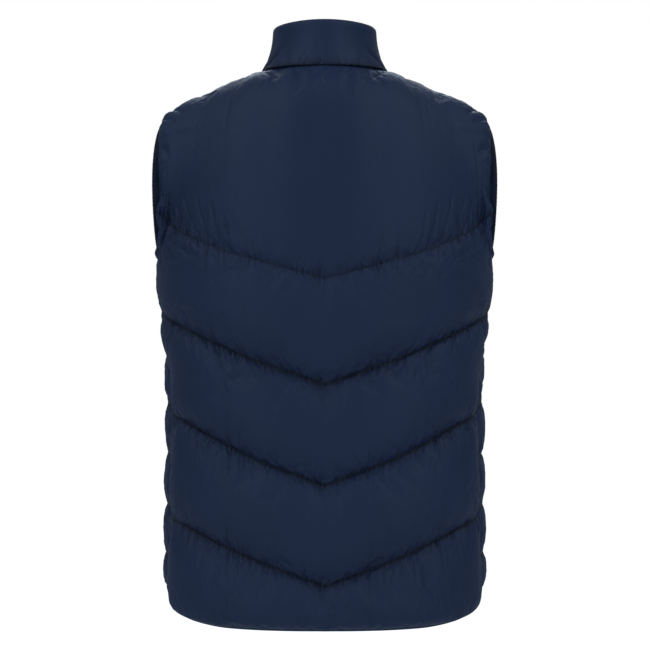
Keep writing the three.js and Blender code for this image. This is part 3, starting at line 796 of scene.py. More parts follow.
            # Painted shade: the colour darkens close to each stitched line, for the shade in its
            # groove, by the bay's share at that line.
            groove_shade = np.where(below < above, bay.low_dark, bay.high_dark)
            groove_shade = np.exp(-near / self.seam_width) * groove_shade
            longer = np.where(below < above, bay.low_longer, bay.high_longer)
            start, span = self.lengths_from
            near = near / (longer * mix(*self.gather_lengths, smooth((across - start) / span)))
            marks.append(np.stack([groove_shade, near, aside], axis=-1))
        height = np.concatenate(heights)
        relief = np.concatenate(reliefs)
        base = self.form.surface(plan.side, np.broadcast_to(across, height.shape), height)
        normal = self.normals(base, signed)
        for crease in plan.creases:
            relief = relief + trough(crease, signed, height, total)
        base[..., 0] *= handed(signed)
        outer = base + normal * np.concatenate(lofts)[..., None]
        if plan.side is Side.BACK:
            outward = unit(np.gradient(base, axis=1)) * handed(signed)[..., None]
            outer = outer + outward * self.rolled((1.0 - across) * total, height)[..., None]
        inner = base - normal * self.wall
        cloth = np.stack(np.broadcast_arrays(signed * total, height), axis=-1)
        stitched = tuple(int(row) for row in np.cumsum(plan.rows)[:-1])
        return Skin(outer, inner, normal, relief, cloth, np.concatenate(marks), stitched,
                    plan.bays[0].hem)

    def rolled(self, beside: Array, height: Array) -> Array:
        """How far the stuffed cloth rolls out over the binding at the foot of an armhole."""
        away = beside / self.roll_place
        low, high = self.roll_fades
        window = smooth(height / low) * smooth((self.roll_top - height) / high)
        return self.roll * away * np.exp(1.0 - away) * window

    def normals(self, base: Array, signed: Array) -> Array:
        """Outward normals of the stitched surface.

        Args:
            base: a grid of its points, all with the X of the wearer's left.
            signed: the signed shares of the grid's columns.

        Returns:
            The normals, with the points' true X.
        """
        points = base.copy()
        points[..., 0] *= handed(signed)
        over = np.gradient(points, axis=1)
        up = np.gradient(points, axis=0)
        normal = unit(np.cross(over, up))
        outside = points * np.array((1.0, 1.0, 0.0))
        middle = normal.shape[0] // 2, normal.shape[1] // 2
        return normal * np.sign((normal[middle] * outside[middle]).sum())


@dataclass
class CollarCut:
    """The stand collar: a padded band that leans in from the neckline."""

    form: Form
    half_width: float = 0.061
    back: float = 0.064
    front: float = -0.084
    back_level: float = 0.055
    side_level: float = 0.050
    front_level: float = -0.018
    middle: float = 0.004
    flare: float = 2.2
    wall: float = 0.003
    crown: float = 0.0036
    spread: float = 0.0035
    spread_reach: float = 0.12
    edge_reaches: tuple = (0.22, 0.12, 0.012)
    edge_floor: float = 0.3
    pucker_strength: float = 0.6
    # How far the painted shade along the groove at the collar's foot spreads.
    seam_width: float = 0.003
    zip_clearance: float = 0.0009
    columns: int = 208
    rows: int = 36
    seed: int = 51
    creases: tuple = (
        Crease(0.62, 0.020, 0.88, 0.003, 0.0026, 0.0030),
        Crease(0.70, 0.010, 0.84, 0.000, 0.0020, 0.0022),
        Crease(0.50, 0.030, 0.74, 0.016, 0.0040, 0.0012),
        Crease(0.92, 0.016, 1.06, 0.004, 0.0030, 0.0016),
        Crease(-0.60, 0.021, -0.87, 0.004, 0.0026, 0.0030),
        Crease(-0.71, 0.011, -0.83, 0.000, 0.0020, 0.0020),
        Crease(-0.48, 0.029, -0.70, 0.018, 0.0040, 0.0012),
        Crease(-0.94, 0.018, -1.04, 0.005, 0.0030, 0.0016),
    )

    def inward(self, rise: Array) -> Array:
        """How far the collar has leaned in at a share of its height."""
        return 1.0 - (1.0 - rise) ** self.flare

    def point(self, degrees: Array, rise: Array) -> Array:
        """Points of the outer face, by the turn from the centre back and the rise from 0 to 1."""
        degrees, rise = np.broadcast_arrays(degrees, rise)
        base = self.form.neckline(np.abs(degrees))
        turn = np.radians(degrees)
        forward = np.cos(turn)
        ahead = np.abs(forward)
        reach = np.where(forward > 0.0, self.back - self.middle, self.middle - self.front)
        behind = mix(self.side_level, self.back_level, ahead ** 2)
        before = mix(self.side_level, self.front_level, ahead ** self.form.neck_bend)
        top_z = np.where(forward > 0.0, behind, before)
        share = self.inward(rise)
        x = mix(base[..., 0] * np.sign(degrees), self.half_width * np.sin(turn), share)
        y = mix(base[..., 1], self.middle + reach * forward, share)
        return stack(x, y, mix(base[..., 2], top_z, rise))

    def end_turn(self, distance: float, rise: Array) -> Array:
        """The turn at which the collar lies `distance` beside the centre front."""
        half = mix(self.form.neck_point[0], self.half_width, self.inward(rise))
        return 180.0 - np.degrees(np.arcsin(distance / half))

    def cut(self, zip_half: float) -> Skin:
        """Shapes the collar.

        Args:
            zip_half: half the zip's width, which is left open between its ends.

        Returns:
            The collar's skin, its first row on the neckline and its last one the top edge.
        """
        rise = spaced(self.rows, 0.5)[:, None]
        end = self.end_turn(zip_half + self.zip_clearance, rise)
        degrees = np.linspace(-1.0, 1.0, self.columns + 1)[None, :] * end
        base = self.point(degrees, rise)
        over = np.gradient(base, axis=1)
        up = np.gradient(base, axis=0)
        normal = unit(np.cross(up, over))
        normal = normal * np.sign((normal * base * np.array((1.0, 1.0, 0.0))).sum())
        length = np.linalg.norm(np.diff(base[self.rows // 2], axis=0), axis=-1).sum()
        tall = np.linalg.norm(np.diff(base[:, self.columns // 2], axis=0), axis=-1).sum()
        along = degrees / 180.0 * length / 2.0
        height = rise * tall + np.zeros_like(along)
        near_end = (1.0 - np.abs(np.linspace(-1.0, 1.0, self.columns + 1))) * length / 2.0
        foot, top, end = self.edge_reaches
        edge = plateau(rise, foot) * plateau(1.0 - rise, top) * plateau(near_end[None, :], end)
        spread = self.spread * np.exp(-rise / self.spread_reach)
        loft = self.crown * mix(self.edge_floor, 1.0, edge)
        loft = loft + spread * np.abs(np.sin(np.radians(degrees)))
        half = length / 2.0
        puckers = Puckers(self.seed, self.pucker_strength)
        relief = puckers.beside(along, height, np.ones_like(height)) * edge
        for crease in self.creases:
            relief = relief + trough(crease, along / half * 2.0, height, half / 2.0)
        # Painted shade: the colour darkens along the groove at the collar's foot.
        groove_shade = np.exp(-height / self.seam_width)
        marks = np.stack([groove_shade, height, np.full_like(height, FAR)], axis=-1)
        return Skin(base + normal * loft[..., None], base - normal * self.wall, normal, relief,
                    np.stack([along, height], axis=-1), marks)


def picks(count: int, stride: int) -> Array:
    """Every `stride`-th index of a row of points, with both ends."""
    return np.linspace(0, count - 1, max(2, round((count - 1) / stride) + 1)).round().astype(int)


def wall_object(name: str, skin: Skin, stride: int = 4) -> bpy.types.Object:
    """Makes the closed wall of a skin, with a coarser inside.

    Args:
        name: the piece's name.
        skin: its points and pattern.
        stride: how many points of the outside one of the inside stands for.

    Returns:
        The new object, with its cloth coordinates in a UV map and its marks in attributes: the
        painted shade along its stitched grooves and the distances to its gathered lines.
    """
    rows, columns = skin.outer.shape[:2]
    up, over = picks(rows, stride), picks(columns, stride)
    inside = np.ix_(up, over)
    outer_ids = np.arange(rows * columns).reshape(rows, columns)
    inner_ids = np.arange(len(up) * len(over)).reshape(len(up), len(over)) + rows * columns
    faces = [*quads(outer_ids), *quads(inner_ids[::-1])]
    for fine, coarse, chosen in (
            (outer_ids[0], inner_ids[0], over), (outer_ids[-1], inner_ids[-1], over),
            (outer_ids[:, 0], inner_ids[:, 0], up), (outer_ids[:, -1], inner_ids[:, -1], up)):
        nearest = np.abs(np.arange(len(fine))[:, None] - chosen[None, :]).argmin(axis=1)
        for k in range(len(fine) - 1):
            a, b = coarse[nearest[k]], coarse[nearest[k + 1]]
            ring = [fine[k], fine[k + 1], b] + ([a] if a != b else [])
            faces.append([int(v) for v in ring])
    points = np.concatenate([skin.outer.reshape(-1, 3), skin.inner[inside].reshape(-1, 3)])
    cloth = np.concatenate([skin.cloth.reshape(-1, 2), skin.cloth[inside].reshape(-1, 2)])
    plain = np.tile((0.0, FAR, FAR), (len(up) * len(over), 1))
    marks = np.concatenate([skin.marks.reshape(-1, 3), plain])
    return surface_object(name, points, faces, cloth, marks)


def quads(ids: Array) -> list:
    """The faces between the points of a grid of vertex numbers."""
    corners = (ids[:-1, :-1], ids[:-1, 1:], ids[1:, 1:], ids[1:, :-1])
    return np.stack([corner.ravel() for corner in corners], axis=1).tolist()


def surface_object(name: str, points: Array, faces: list, cloth: Array,
                   marks: Array) -> bpy.types.Object:
    """Makes a smooth mesh with its faces outwards.

    Args:
        name: the piece's name.
        points: its vertices.
        faces: its faces by vertex number.
        cloth: each vertex's cloth coordinates, for the UV map.
        marks: each vertex's values of the attributes in MARKS.

    Returns:
        The new object.
    """
    mesh = bpy.data.meshes.new(name)
    mesh.from_pydata(points.tolist(), [], faces)
    shape = bmesh.new()
    shape.from_mesh(mesh)
    bmesh.ops.recalc_face_normals(shape, faces=shape.faces)
    if shape.calc_volume(signed=True) < 0.0:
        bmesh.ops.reverse_faces(shape, faces=shape.faces)
    shape.to_mesh(mesh)
    shape.free()
    corners = np.empty(len(mesh.loops), int)
    mesh.loops.foreach_get("vertex_index", corners)
    layer = mesh.uv_layers.new(name="cloth")
    layer.data.foreach_set("uv", cloth[corners].astype(np.float32).ravel())
    for k, label in enumerate(MARKS):
        mask = mesh.attributes.new(label, "FLOAT", "POINT")
        mask.data.foreach_set("value", np.ascontiguousarray(marks[:, k], dtype=np.float32))
    mesh.shade_smooth()
    item = bpy.data.objects.new(name, mesh)
    bpy.context.scene.collection.objects.link(item)
    return item


def add_node(tree: bpy.types.NodeTree, kind: str, **values: object) -> bpy.types.Node:
    """Adds a node; settings are given by name, and inputs by their names' words joined by _."""
    made = tree.nodes.new(kind)
    for key, value in values.items():
        socket = next((s for s in made.inputs if s.name.lower().replace(" ", "_") == key), None)
        if socket is None:
            setattr(made, key, value)
        elif isinstance(value, bpy.types.NodeSocket):
            tree.links.new(value, socket)
        else:
            socket.default_value = value
    return made


def math_node(tree: bpy.types.NodeTree, operation: str, *values: object) -> bpy.types.NodeSocket:
    """Adds a Math node on sockets or numbers and returns its result."""
    made = tree.nodes.new("ShaderNodeMath")
    made.operation = operation
    for socket, value in zip(made.inputs, values):
        if isinstance(value, bpy.types.NodeSocket):
            tree.links.new(value, socket)
        else:
            socket.default_value = value
    return made.outputs[0]


def new_group(name: str, inputs: dict, outputs: dict) -> tuple:
    """Starts a shader node group.

    Args:
        name: the group's name.
        inputs: socket types by name.
        outputs: socket types by name.

    Returns:
        The group with its input and output nodes.
    """
    group = bpy.data.node_groups.new(name, "ShaderNodeTree")
    for label, kind in inputs.items():
        group.interface.new_socket(label, in_out="INPUT", socket_type=kind)
    for label, kind in outputs.items():
        group.interface.new_socket(label, in_out="OUTPUT", socket_type=kind)
    return group, group.nodes.new("NodeGroupInput"), group.nodes.new("NodeGroupOutput")


class Effects:
    """The node groups that several finishes share."""

    SWAY = (31.0, 3.0)
    FINENESS = (150.0, 26.0)
    CREASE_WIDTH = 0.06
    PATCH_SCALE = 55.0
    PATCH_RANGE = (0.36, 0.66)
    PATCH_FLOOR = 0.1

    def __init__(self) -> None:
        """Builds each group once."""
        self.weave = self.woven()
        self.mottle = self.mottled()
        self.gathers = self.gathered()

    def woven(self) -> bpy.types.NodeTree:
        """A plain weave: threads over and under each other, in cloth coordinates in metres."""
        scalar, vector = "NodeSocketFloat", "NodeSocketVector"
        group, start, end = new_group(
            "plain_weave", {"Cloth": vector, "Thread": scalar}, {"Height": scalar})
        parts = add_node(group, "ShaderNodeSeparateXYZ", vector=start.outputs["Cloth"])
        over = math_node(group, "DIVIDE", parts.outputs["X"], start.outputs["Thread"])
        along = math_node(group, "DIVIDE", parts.outputs["Y"], start.outputs["Thread"])
        crowns = []
        for place in (over, along):
            wave = math_node(group, "SINE", math_node(group, "MULTIPLY", place, math.pi))
            crowns.append(math_node(group, "ABSOLUTE", wave))
        cells = math_node(group, "ADD",
                          *(math_node(group, "FLOOR", place) for place in (over, along)))
        turn = math_node(group, "PINGPONG", cells, 1.0)
        height = add_node(group, "ShaderNodeMix", data_type="FLOAT")
        group.links.new(turn, height.inputs[0])
        group.links.new(crowns[0], height.inputs[2])
        group.links.new(crowns[1], height.inputs[3])
        group.links.new(height.outputs[0], end.inputs["Height"])
        return group

    def mottled(self) -> bpy.types.NodeTree:
        """Soft unevenness at one size, as a mask about a half and as a colour's tone."""
        scalar, vector, colour = "NodeSocketFloat", "NodeSocketVector", "NodeSocketColor"
        group, start, end = new_group(
            "soft_mottle",
            {"Place": vector, "Scale": scalar, "Low": scalar, "High": scalar, "Colour": colour},
            {"Mask": scalar, "Colour": colour})
        noise = add_node(group, "ShaderNodeTexNoise", vector=start.outputs["Place"],
                         scale=start.outputs["Scale"], detail=3.0, roughness=0.55)
        tone = add_node(group, "ShaderNodeMapRange", value=noise.outputs["Fac"],
                        from_min=0.3, from_max=0.7,
                        to_min=start.outputs["Low"], to_max=start.outputs["High"])
        tinted = add_node(group, "ShaderNodeVectorMath", operation="SCALE")
        group.links.new(start.outputs["Colour"], tinted.inputs[0])
        group.links.new(tone.outputs["Result"], tinted.inputs["Scale"])
        group.links.new(noise.outputs["Fac"], end.inputs["Mask"])
        group.links.new(tinted.outputs["Vector"], end.inputs["Colour"])
        return group

    def gathered(self) -> bpy.types.NodeTree:
        """Fine spiky creases that start at a gathered line and die out away from it."""
        scalar = "NodeSocketFloat"
        group, start, end = new_group(
            "fine_gathers", {"Along": scalar, "Away": scalar, "Reach": scalar}, {"Mask": scalar})
        away = start.outputs["Away"]
        sway = add_node(group, "ShaderNodeTexNoise", noise_dimensions="1D", scale=self.SWAY[0],
                        detail=1.0, w=start.outputs["Along"])
        centred = math_node(group, "SUBTRACT", sway.outputs["Fac"], 0.5)
        slant = math_node(group, "MULTIPLY", centred, self.SWAY[1])
        along = math_node(group, "MULTIPLY_ADD", slant, away, start.outputs["Along"])
        place = add_node(group, "ShaderNodeCombineXYZ",
                         x=math_node(group, "MULTIPLY", along, self.FINENESS[0]),
                         y=math_node(group, "MULTIPLY", away, self.FINENESS[1]))
        noise = add_node(group, "ShaderNodeTexNoise", noise_dimensions="2D", scale=1.0, detail=1.0,
                         roughness=0.4, vector=place.outputs[0])
        off = math_node(group, "ABSOLUTE", math_node(group, "SUBTRACT", noise.outputs["Fac"], 0.5))
        crease = add_node(group, "ShaderNodeMapRange", interpolation_type="SMOOTHSTEP", value=off,
                          from_min=0.0, from_max=self.CREASE_WIDTH, to_min=1.0, to_max=0.0)
        patch = add_node(group, "ShaderNodeTexNoise", noise_dimensions="1D",
                         scale=self.PATCH_SCALE, detail=2.0, w=start.outputs["Along"])
        strong = add_node(group, "ShaderNodeMapRange", value=patch.outputs["Fac"],
                          from_min=self.PATCH_RANGE[0], from_max=self.PATCH_RANGE[1],
                          to_min=self.PATCH_FLOOR, to_max=1.0)
        reach = math_node(group, "MULTIPLY", start.outputs["Reach"], strong.outputs["Result"])
        fade = math_node(group, "EXPONENT", math_node(
            group, "MULTIPLY", math_node(group, "DIVIDE", away, reach), -1.0))
        faded = math_node(group, "MULTIPLY", crease.outputs["Result"], fade)
        mask = math_node(group, "MULTIPLY", faded, strong.outputs["Result"])
        group.links.new(mask, end.inputs["Mask"])
        return group


def shaded(hexadecimal: int) -> tuple:
    """A linear colour from its sRGB hexadecimal."""
    channels = [(hexadecimal >> shift & 255) / 255.0 for shift in (16, 8, 0)]
    return (*[c / 12.92 if c <= 0.04045 else ((c + 0.055) / 1.055) ** 2.4 for c in channels], 1.0)


class Painted:
    """A material on Object coordinates with an uneven colour and roughness."""

    def __init__(self, name: str, effects: Effects, colour: int, scale: float, tone: tuple,
                 roughness: tuple) -> None:
        """Starts the material.

        Args:
            name: the material's name.
            effects: the shared node groups.
            colour: its sRGB hexadecimal.
            scale: the size of its unevenness.
            tone: the lowest and highest share of the colour.
            roughness: the lowest and highest roughness.
        """
        self.made = bpy.data.materials.new(name)
        self.made.use_nodes = True
        self.tree = self.made.node_tree
        self.shader = self.tree.nodes["Principled BSDF"]
        self.place = add_node(self.tree, "ShaderNodeTexCoord").outputs["Object"]
        self.mottle = add_node(
            self.tree, "ShaderNodeGroup", node_tree=effects.mottle, place=self.place, scale=scale,
            low=tone[0], high=tone[1], colour=shaded(colour))
        rough = add_node(self.tree, "ShaderNodeMapRange", value=self.mottle.outputs["Mask"],
                         to_min=roughness[0], to_max=roughness[1])
        self.link(rough.outputs["Result"], "Roughness")

    def link(self, socket: bpy.types.NodeSocket, name: str) -> None:
        """Links a socket to an input of the shader."""
        self.tree.links.new(socket, self.shader.inputs[name])

    def bumped(self, height: bpy.types.NodeSocket) -> None:
        """Links a height in metres to the shader's normal."""
        bump = add_node(self.tree, "ShaderNodeBump", height=height, distance=1.0, strength=1.0)
        self.link(bump.outputs["Normal"], "Normal")

    def blended(self, share: bpy.types.NodeSocket, first: bpy.types.NodeSocket,
                colour: int) -> bpy.types.NodeSocket:
        """A colour socket blended towards an sRGB hexadecimal by a share."""
        blend = add_node(self.tree, "ShaderNodeMix", data_type="RGBA")
        self.tree.links.new(share, blend.inputs[0])
        self.tree.links.new(first, blend.inputs[6])
        blend.inputs[7].default_value = shaded(colour)
        return blend.outputs[2]


@dataclass(frozen=True)
class ClothFinish:
    """A woven synthetic with a soft sheen."""

    name: str
    colour: int
    # The colour towards which painted shade darkens the cloth in its stitched grooves and fine
    # creases.
    seam_colour: int
    roughness: float = 0.5
    sheen: float = 0.02
    specular: float = 0.24
    thread: float = 0.00042
    weave_depth: float = 0.00003
    crinkle_depth: float = 0.00022
    crinkle_scale: float = 260.0
    gather_depth: float = 0.0015
    # How strongly the fine creases darken the colour, as painted shade.
    gather_shade: float = 0.62
    gather_reach: float = 0.013
    tone: tuple = (0.93, 1.07)
    mottle_scale: float = 9.0
    uneven: float = 0.05
    sheen_roughness: float = 0.45
    sheen_tint: tuple = (0.62, 0.72, 1.0, 1.0)

    def material(self, effects: Effects) -> bpy.types.Material:
        """Builds the material.

        Args:
            effects: the shared node groups.

        Returns:
            A material that reads the cloth UV map and the attributes in MARKS.
        """
        paint = Painted(self.name, effects, self.colour, self.mottle_scale, self.tone,
                        (self.roughness - self.uneven, self.roughness + self.uneven))
        tree = paint.tree
        cloth = add_node(tree, "ShaderNodeUVMap", uv_map="cloth").outputs["UV"]
        # The seam attribute darkens the colour as painted shade in the stitched grooves.
        seam = add_node(tree, "ShaderNodeAttribute", attribute_name="seam")
        tint = paint.blended(seam.outputs["Fac"], paint.mottle.outputs["Colour"], self.seam_colour)
        parts = add_node(tree, "ShaderNodeSeparateXYZ", vector=cloth)
        masks = []
        for mark, along in (("near", "X"), ("aside", "Y")):
            away = add_node(tree, "ShaderNodeAttribute", attribute_name=mark).outputs["Fac"]
            gathers = add_node(tree, "ShaderNodeGroup", node_tree=effects.gathers,
                               along=parts.outputs[along], away=away, reach=self.gather_reach)
            masks.append(gathers.outputs["Mask"])
        creased = math_node(tree, "MAXIMUM", *masks)
        # The fine creases dent the bump and also darken the colour, as painted shade.
        shade = math_node(tree, "MULTIPLY", creased, self.gather_shade)
        paint.link(paint.blended(shade, tint, self.seam_colour), "Base Color")
        crinkle = add_node(tree, "ShaderNodeTexNoise", vector=paint.place,
                           scale=self.crinkle_scale, detail=2.0, roughness=0.5)
        weave = add_node(tree, "ShaderNodeGroup", node_tree=effects.weave, cloth=cloth,
                         thread=self.thread)
        folds = math_node(tree, "MULTIPLY", crinkle.outputs["Fac"], self.crinkle_depth)
        folds = math_node(tree, "MULTIPLY_ADD", creased, -self.gather_depth, folds)
        paint.bumped(math_node(tree, "MULTIPLY_ADD", weave.outputs["Height"], self.weave_depth,
                               folds))
        for name, value in (("Sheen Weight", self.sheen), ("Sheen Tint", self.sheen_tint),
                            ("Sheen Roughness", self.sheen_roughness),
                            ("Specular IOR Level", self.specular)):
            paint.shader.inputs[name].default_value = value
        return paint.made


@dataclass(frozen=True)
class HardFinish:
    """Lacquered metal or moulded resin, worn a little unevenly."""

    name: str
    colour: int
    metallic: float
    roughness: float
    scale: float = 900.0
    depth: float = 0.00002
    tone: tuple = (0.8, 1.2)
    uneven: float = 0.1

    def material(self, effects: Effects) -> bpy.types.Material:
        """Builds the material on Object coordinates."""
        paint = Painted(self.name, effects, self.colour, self.scale, self.tone,
                        (self.roughness - self.uneven, self.roughness + self.uneven))
        paint.link(paint.mottle.outputs["Colour"], "Base Color")
        paint.bumped(math_node(paint.tree, "MULTIPLY", paint.mottle.outputs["Mask"], self.depth))
        paint.shader.inputs["Metallic"].default_value = self.metallic
        return paint.made


class Finishes:
    """Every finish of the garment, built once."""

    SHELL = ClothFinish("navy_shell", 0x1E2D4B, 0x0D1322)
    # The binding's colour is the shell's navy darkened, as painted shade inside the armhole.
    BINDING = ClothFinish("dark_binding", 0x121B2E, 0x0B101C, roughness=0.55, sheen=0.0,
                          specular=0.14)
    TAPE = ClothFinish("zip_tape", 0x182036, 0x182036, roughness=0.75, thread=0.0007,
                       weave_depth=0.00008, crinkle_depth=0.00005)
    THREAD = HardFinish("navy_thread", 0x1B2338, 0.0, 0.6)
    TEETH = HardFinish("moulded_teeth", 0x141A28, 0.0, 0.38)
    METAL = HardFinish("dark_metal", 0x4A4E57, 1.0, 0.34)

    def __init__(self) -> None:
        """Builds the shared effects and each material."""
        effects = Effects()
        self.shell = self.SHELL.material(effects)
        self.binding = self.BINDING.material(effects)
        self.tape = self.TAPE.material(effects)
        self.thread = self.THREAD.material(effects)
        self.teeth = self.TEETH.material(effects)
        self.metal = self.METAL.material(effects)


def dress(item: bpy.types.Object, material: bpy.types.Material, slot: str = "", *nodes: str,
          body: str = "vest") -> bpy.types.Object:
    """Gives a piece its finish, hangs it on its body and hides any solids that it stands for.

    Args:
        item: the piece.
        material: its finish.
        slot: not used.
        nodes: the solids that it stands for.
        body: the body that it rides on.

    Returns:
        The piece.
    """
    item.data.materials.clear()
    item.data.materials.append(material)
    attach(item, body)
    if nodes:
        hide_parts(*nodes)
    LOG.info("%s: %d faces", item.name, len(item.data.polygons))
    return item


@dataclass
class Stuffing:
    """Blows the padded panels up between their stitched lines with Blender's cloth."""

    spacing: float = 0.0045
    pressure: float = 4.0
    growth: float = 0.026
    frames: int = 20
    cap: float = 0.006
    uneven: float = 0.00025
    seed: int = 5
    stiffness: float = 12.0
    bending: float = 0.08
    mass: float = 0.12

    def stuffed(self, skins: dict) -> dict:
        """Simulates every panel at once.

        Args:
            skins: the panels by name, as cut.

        Returns:
            The same panels, their outsides moved by the cloth, never further than the cap.
        """
        sheets = {name: self.sheet(name, skin) for name, skin in skins.items()}
        scene = bpy.context.scene
        scene.frame_start, scene.frame_end = 1, self.frames
        for number in range(1, self.frames + 1):
            scene.frame_set(number)
        graph = bpy.context.evaluated_depsgraph_get()
        moved = {}
        for name, (item, rows, columns) in sheets.items():
            mesh = item.evaluated_get(graph).to_mesh()
            points = np.empty(len(mesh.vertices) * 3)
            mesh.vertices.foreach_get("co", points)
            item.evaluated_get(graph).to_mesh_clear()
            skin = skins[name]
            start = skin.outer[np.ix_(rows, columns)]
            shift = points.reshape(start.shape) - start
            far = np.linalg.norm(shift, axis=-1, keepdims=True)
            shift = shift * (self.cap * np.tanh(far / self.cap) / np.maximum(far, 1e-9))
            LOG.info("%s: cloth moved %.2f mm at most", name, far.max() * 1000.0)
            shift = self.spread_out(shift, rows, columns, skin)
            moved[name] = replace(skin, outer=skin.outer + shift)
        scene.frame_set(1)
        for item, _, _ in sheets.values():
            bpy.data.objects.remove(item)
        return moved

    def sheet(self, name: str, skin: Skin) -> tuple:
        """Makes the coarse sheet that is simulated.

        Args:
            name: the panel's name.
            skin: the panel.

        Returns:
            The sheet, and the rows and columns of the skin that it is made of.
        """
        tall = np.linalg.norm(np.diff(skin.outer[:, skin.outer.shape[1] // 2], axis=0), axis=-1)
        wide = np.linalg.norm(np.diff(skin.outer[skin.outer.shape[0] // 2], axis=0), axis=-1)
        held = sorted({0, *skin.lines, len(tall)})
        rows = [0]
        for a, b in zip(held[:-1], held[1:]):
            steps = max(2, round(tall[a:b].sum() / self.spacing))
            run = np.concatenate([[0.0], np.cumsum(tall[a:b])])
            chosen = np.interp(np.linspace(0.0, run[-1], steps + 1)[1:], run, np.arange(a, b + 1))
            rows += [int(v) for v in chosen.round()]
        run = np.concatenate([[0.0], np.cumsum(wide)])
        steps = round(run[-1] / self.spacing)
        columns = np.interp(np.linspace(0.0, run[-1], steps + 1), run, np.arange(len(run)))
        rows, columns = np.unique(rows), np.unique(columns.round().astype(int))
        ids = np.arange(len(rows) * len(columns)).reshape(len(rows), len(columns))
        pinned = np.isin(rows, held)[:, None] | np.isin(columns, (0, len(wide)))[None, :]
        start = skin.outer[np.ix_(rows, columns)]
        random = np.random.default_rng(self.seed + len(name))
        uneven = random.normal(0.0, self.uneven, pinned.shape) * ~pinned
        points = start + skin.normal[np.ix_(rows, columns)] * uneven[..., None]
        points = points.reshape(-1, 3)
        mesh = bpy.data.meshes.new(name + "_sheet")
        faces = np.array(quads(ids))
        corners = points[faces]
        facing = np.cross(corners[:, 1] - corners[:, 0], corners[:, 3] - corners[:, 0])
        outward = (facing * skin.normal[np.ix_(rows, columns)].reshape(-1, 3)[faces[:, 0]]).sum()
        mesh.from_pydata(points.tolist(), [], (faces if outward > 0.0 else faces[:, ::-1]).tolist())
        item = bpy.data.objects.new(name + "_sheet", mesh)
        bpy.context.scene.collection.objects.link(item)
        group = item.vertex_groups.new(name="stitched")
        group.add([int(v) for v in ids[pinned]], 1.0, "REPLACE")
        self.make_cloth(item, group.name)
        return item, rows, columns

    def make_cloth(self, item: bpy.types.Object, pinned: str) -> None:
        """Sets up the cloth of one sheet.

        Args:
            item: the sheet.
            pinned: the name of its group of held points.
        """
        cloth = item.modifiers.new("cloth", "CLOTH")
        settings = cloth.settings
        settings.quality = 5
        settings.mass = self.mass
        settings.vertex_group_mass = pinned
        settings.tension_stiffness = self.stiffness
        settings.compression_stiffness = self.stiffness
        settings.shear_stiffness = self.stiffness / 2.0
        settings.bending_stiffness = self.bending
        settings.use_pressure = True
        settings.uniform_pressure_force = self.pressure
        settings.shrink_min = -self.growth
        settings.effector_weights.gravity = 0.0
        cloth.collision_settings.use_collision = False
        cloth.collision_settings.use_self_collision = False
        cloth.point_cache.frame_start = 1
        cloth.point_cache.frame_end = self.frames

    def spread_out(self, shift: Array, rows: Array, columns: Array, skin: Skin) -> Array:
        """The sheet's movement at every point of the panel.

        Args:
            shift: the movement of the sheet's points.
            rows: the panel's rows that they lie on.
            columns: its columns.
            skin: the panel.

        Returns:
            One movement for each point of the panel.
        """
        down = np.interp(np.arange(skin.outer.shape[0]), rows, np.arange(len(rows)))
        over = np.interp(np.arange(skin.outer.shape[1]), columns, np.arange(len(columns)))
        axes = [bilinear(shift[..., axis], down[:, None], over[None, :]) for axis in range(3)]
        return np.stack(axes, axis=-1)


@dataclass
class Quilting:
    """The padded panels: the back, its yoke, both fronts and the collar."""

    tailor: Tailor
    finishes: Finishes
    fill: float = 0.75
    skins: dict = field(default_factory=dict)

    def build(self) -> None:
        """Makes every padded piece and gives it its finish."""
        tailor = self.tailor
        skins = {"back_quilted": tailor.cut(tailor.back_plan()),
                 "yoke_padded": tailor.cut(tailor.yoke_plan())}
        for hand in Hand:
            skins[f"front_quilted_{hand.word}"] = tailor.cut(tailor.front_plan(hand), hand.value)
        skins = Stuffing().stuffed(skins)
        collar = CollarCut(tailor.form).cut(tailor.zip_half)
        skins["collar_padded"] = collar.upside_down()
        nodes = {"back_quilted": "back_panel", "yoke_padded": "back_yoke",
                 "collar_padded": "collar",
                 **{f"front_quilted_{hand.word}": f"front_{hand.word}" for hand in Hand}}
        for name, skin in skins.items():
            skin = skin.pressed()
            rounded = skin.hem or name == "collar_padded"
            self.skins[name] = skin.turned(tailor.hem_turns) if rounded else skin
            piece = wall_object(name, self.skins[name], tailor.inside_stride)
            dress(piece, self.finishes.shell, "shell_cloth", nodes[name])


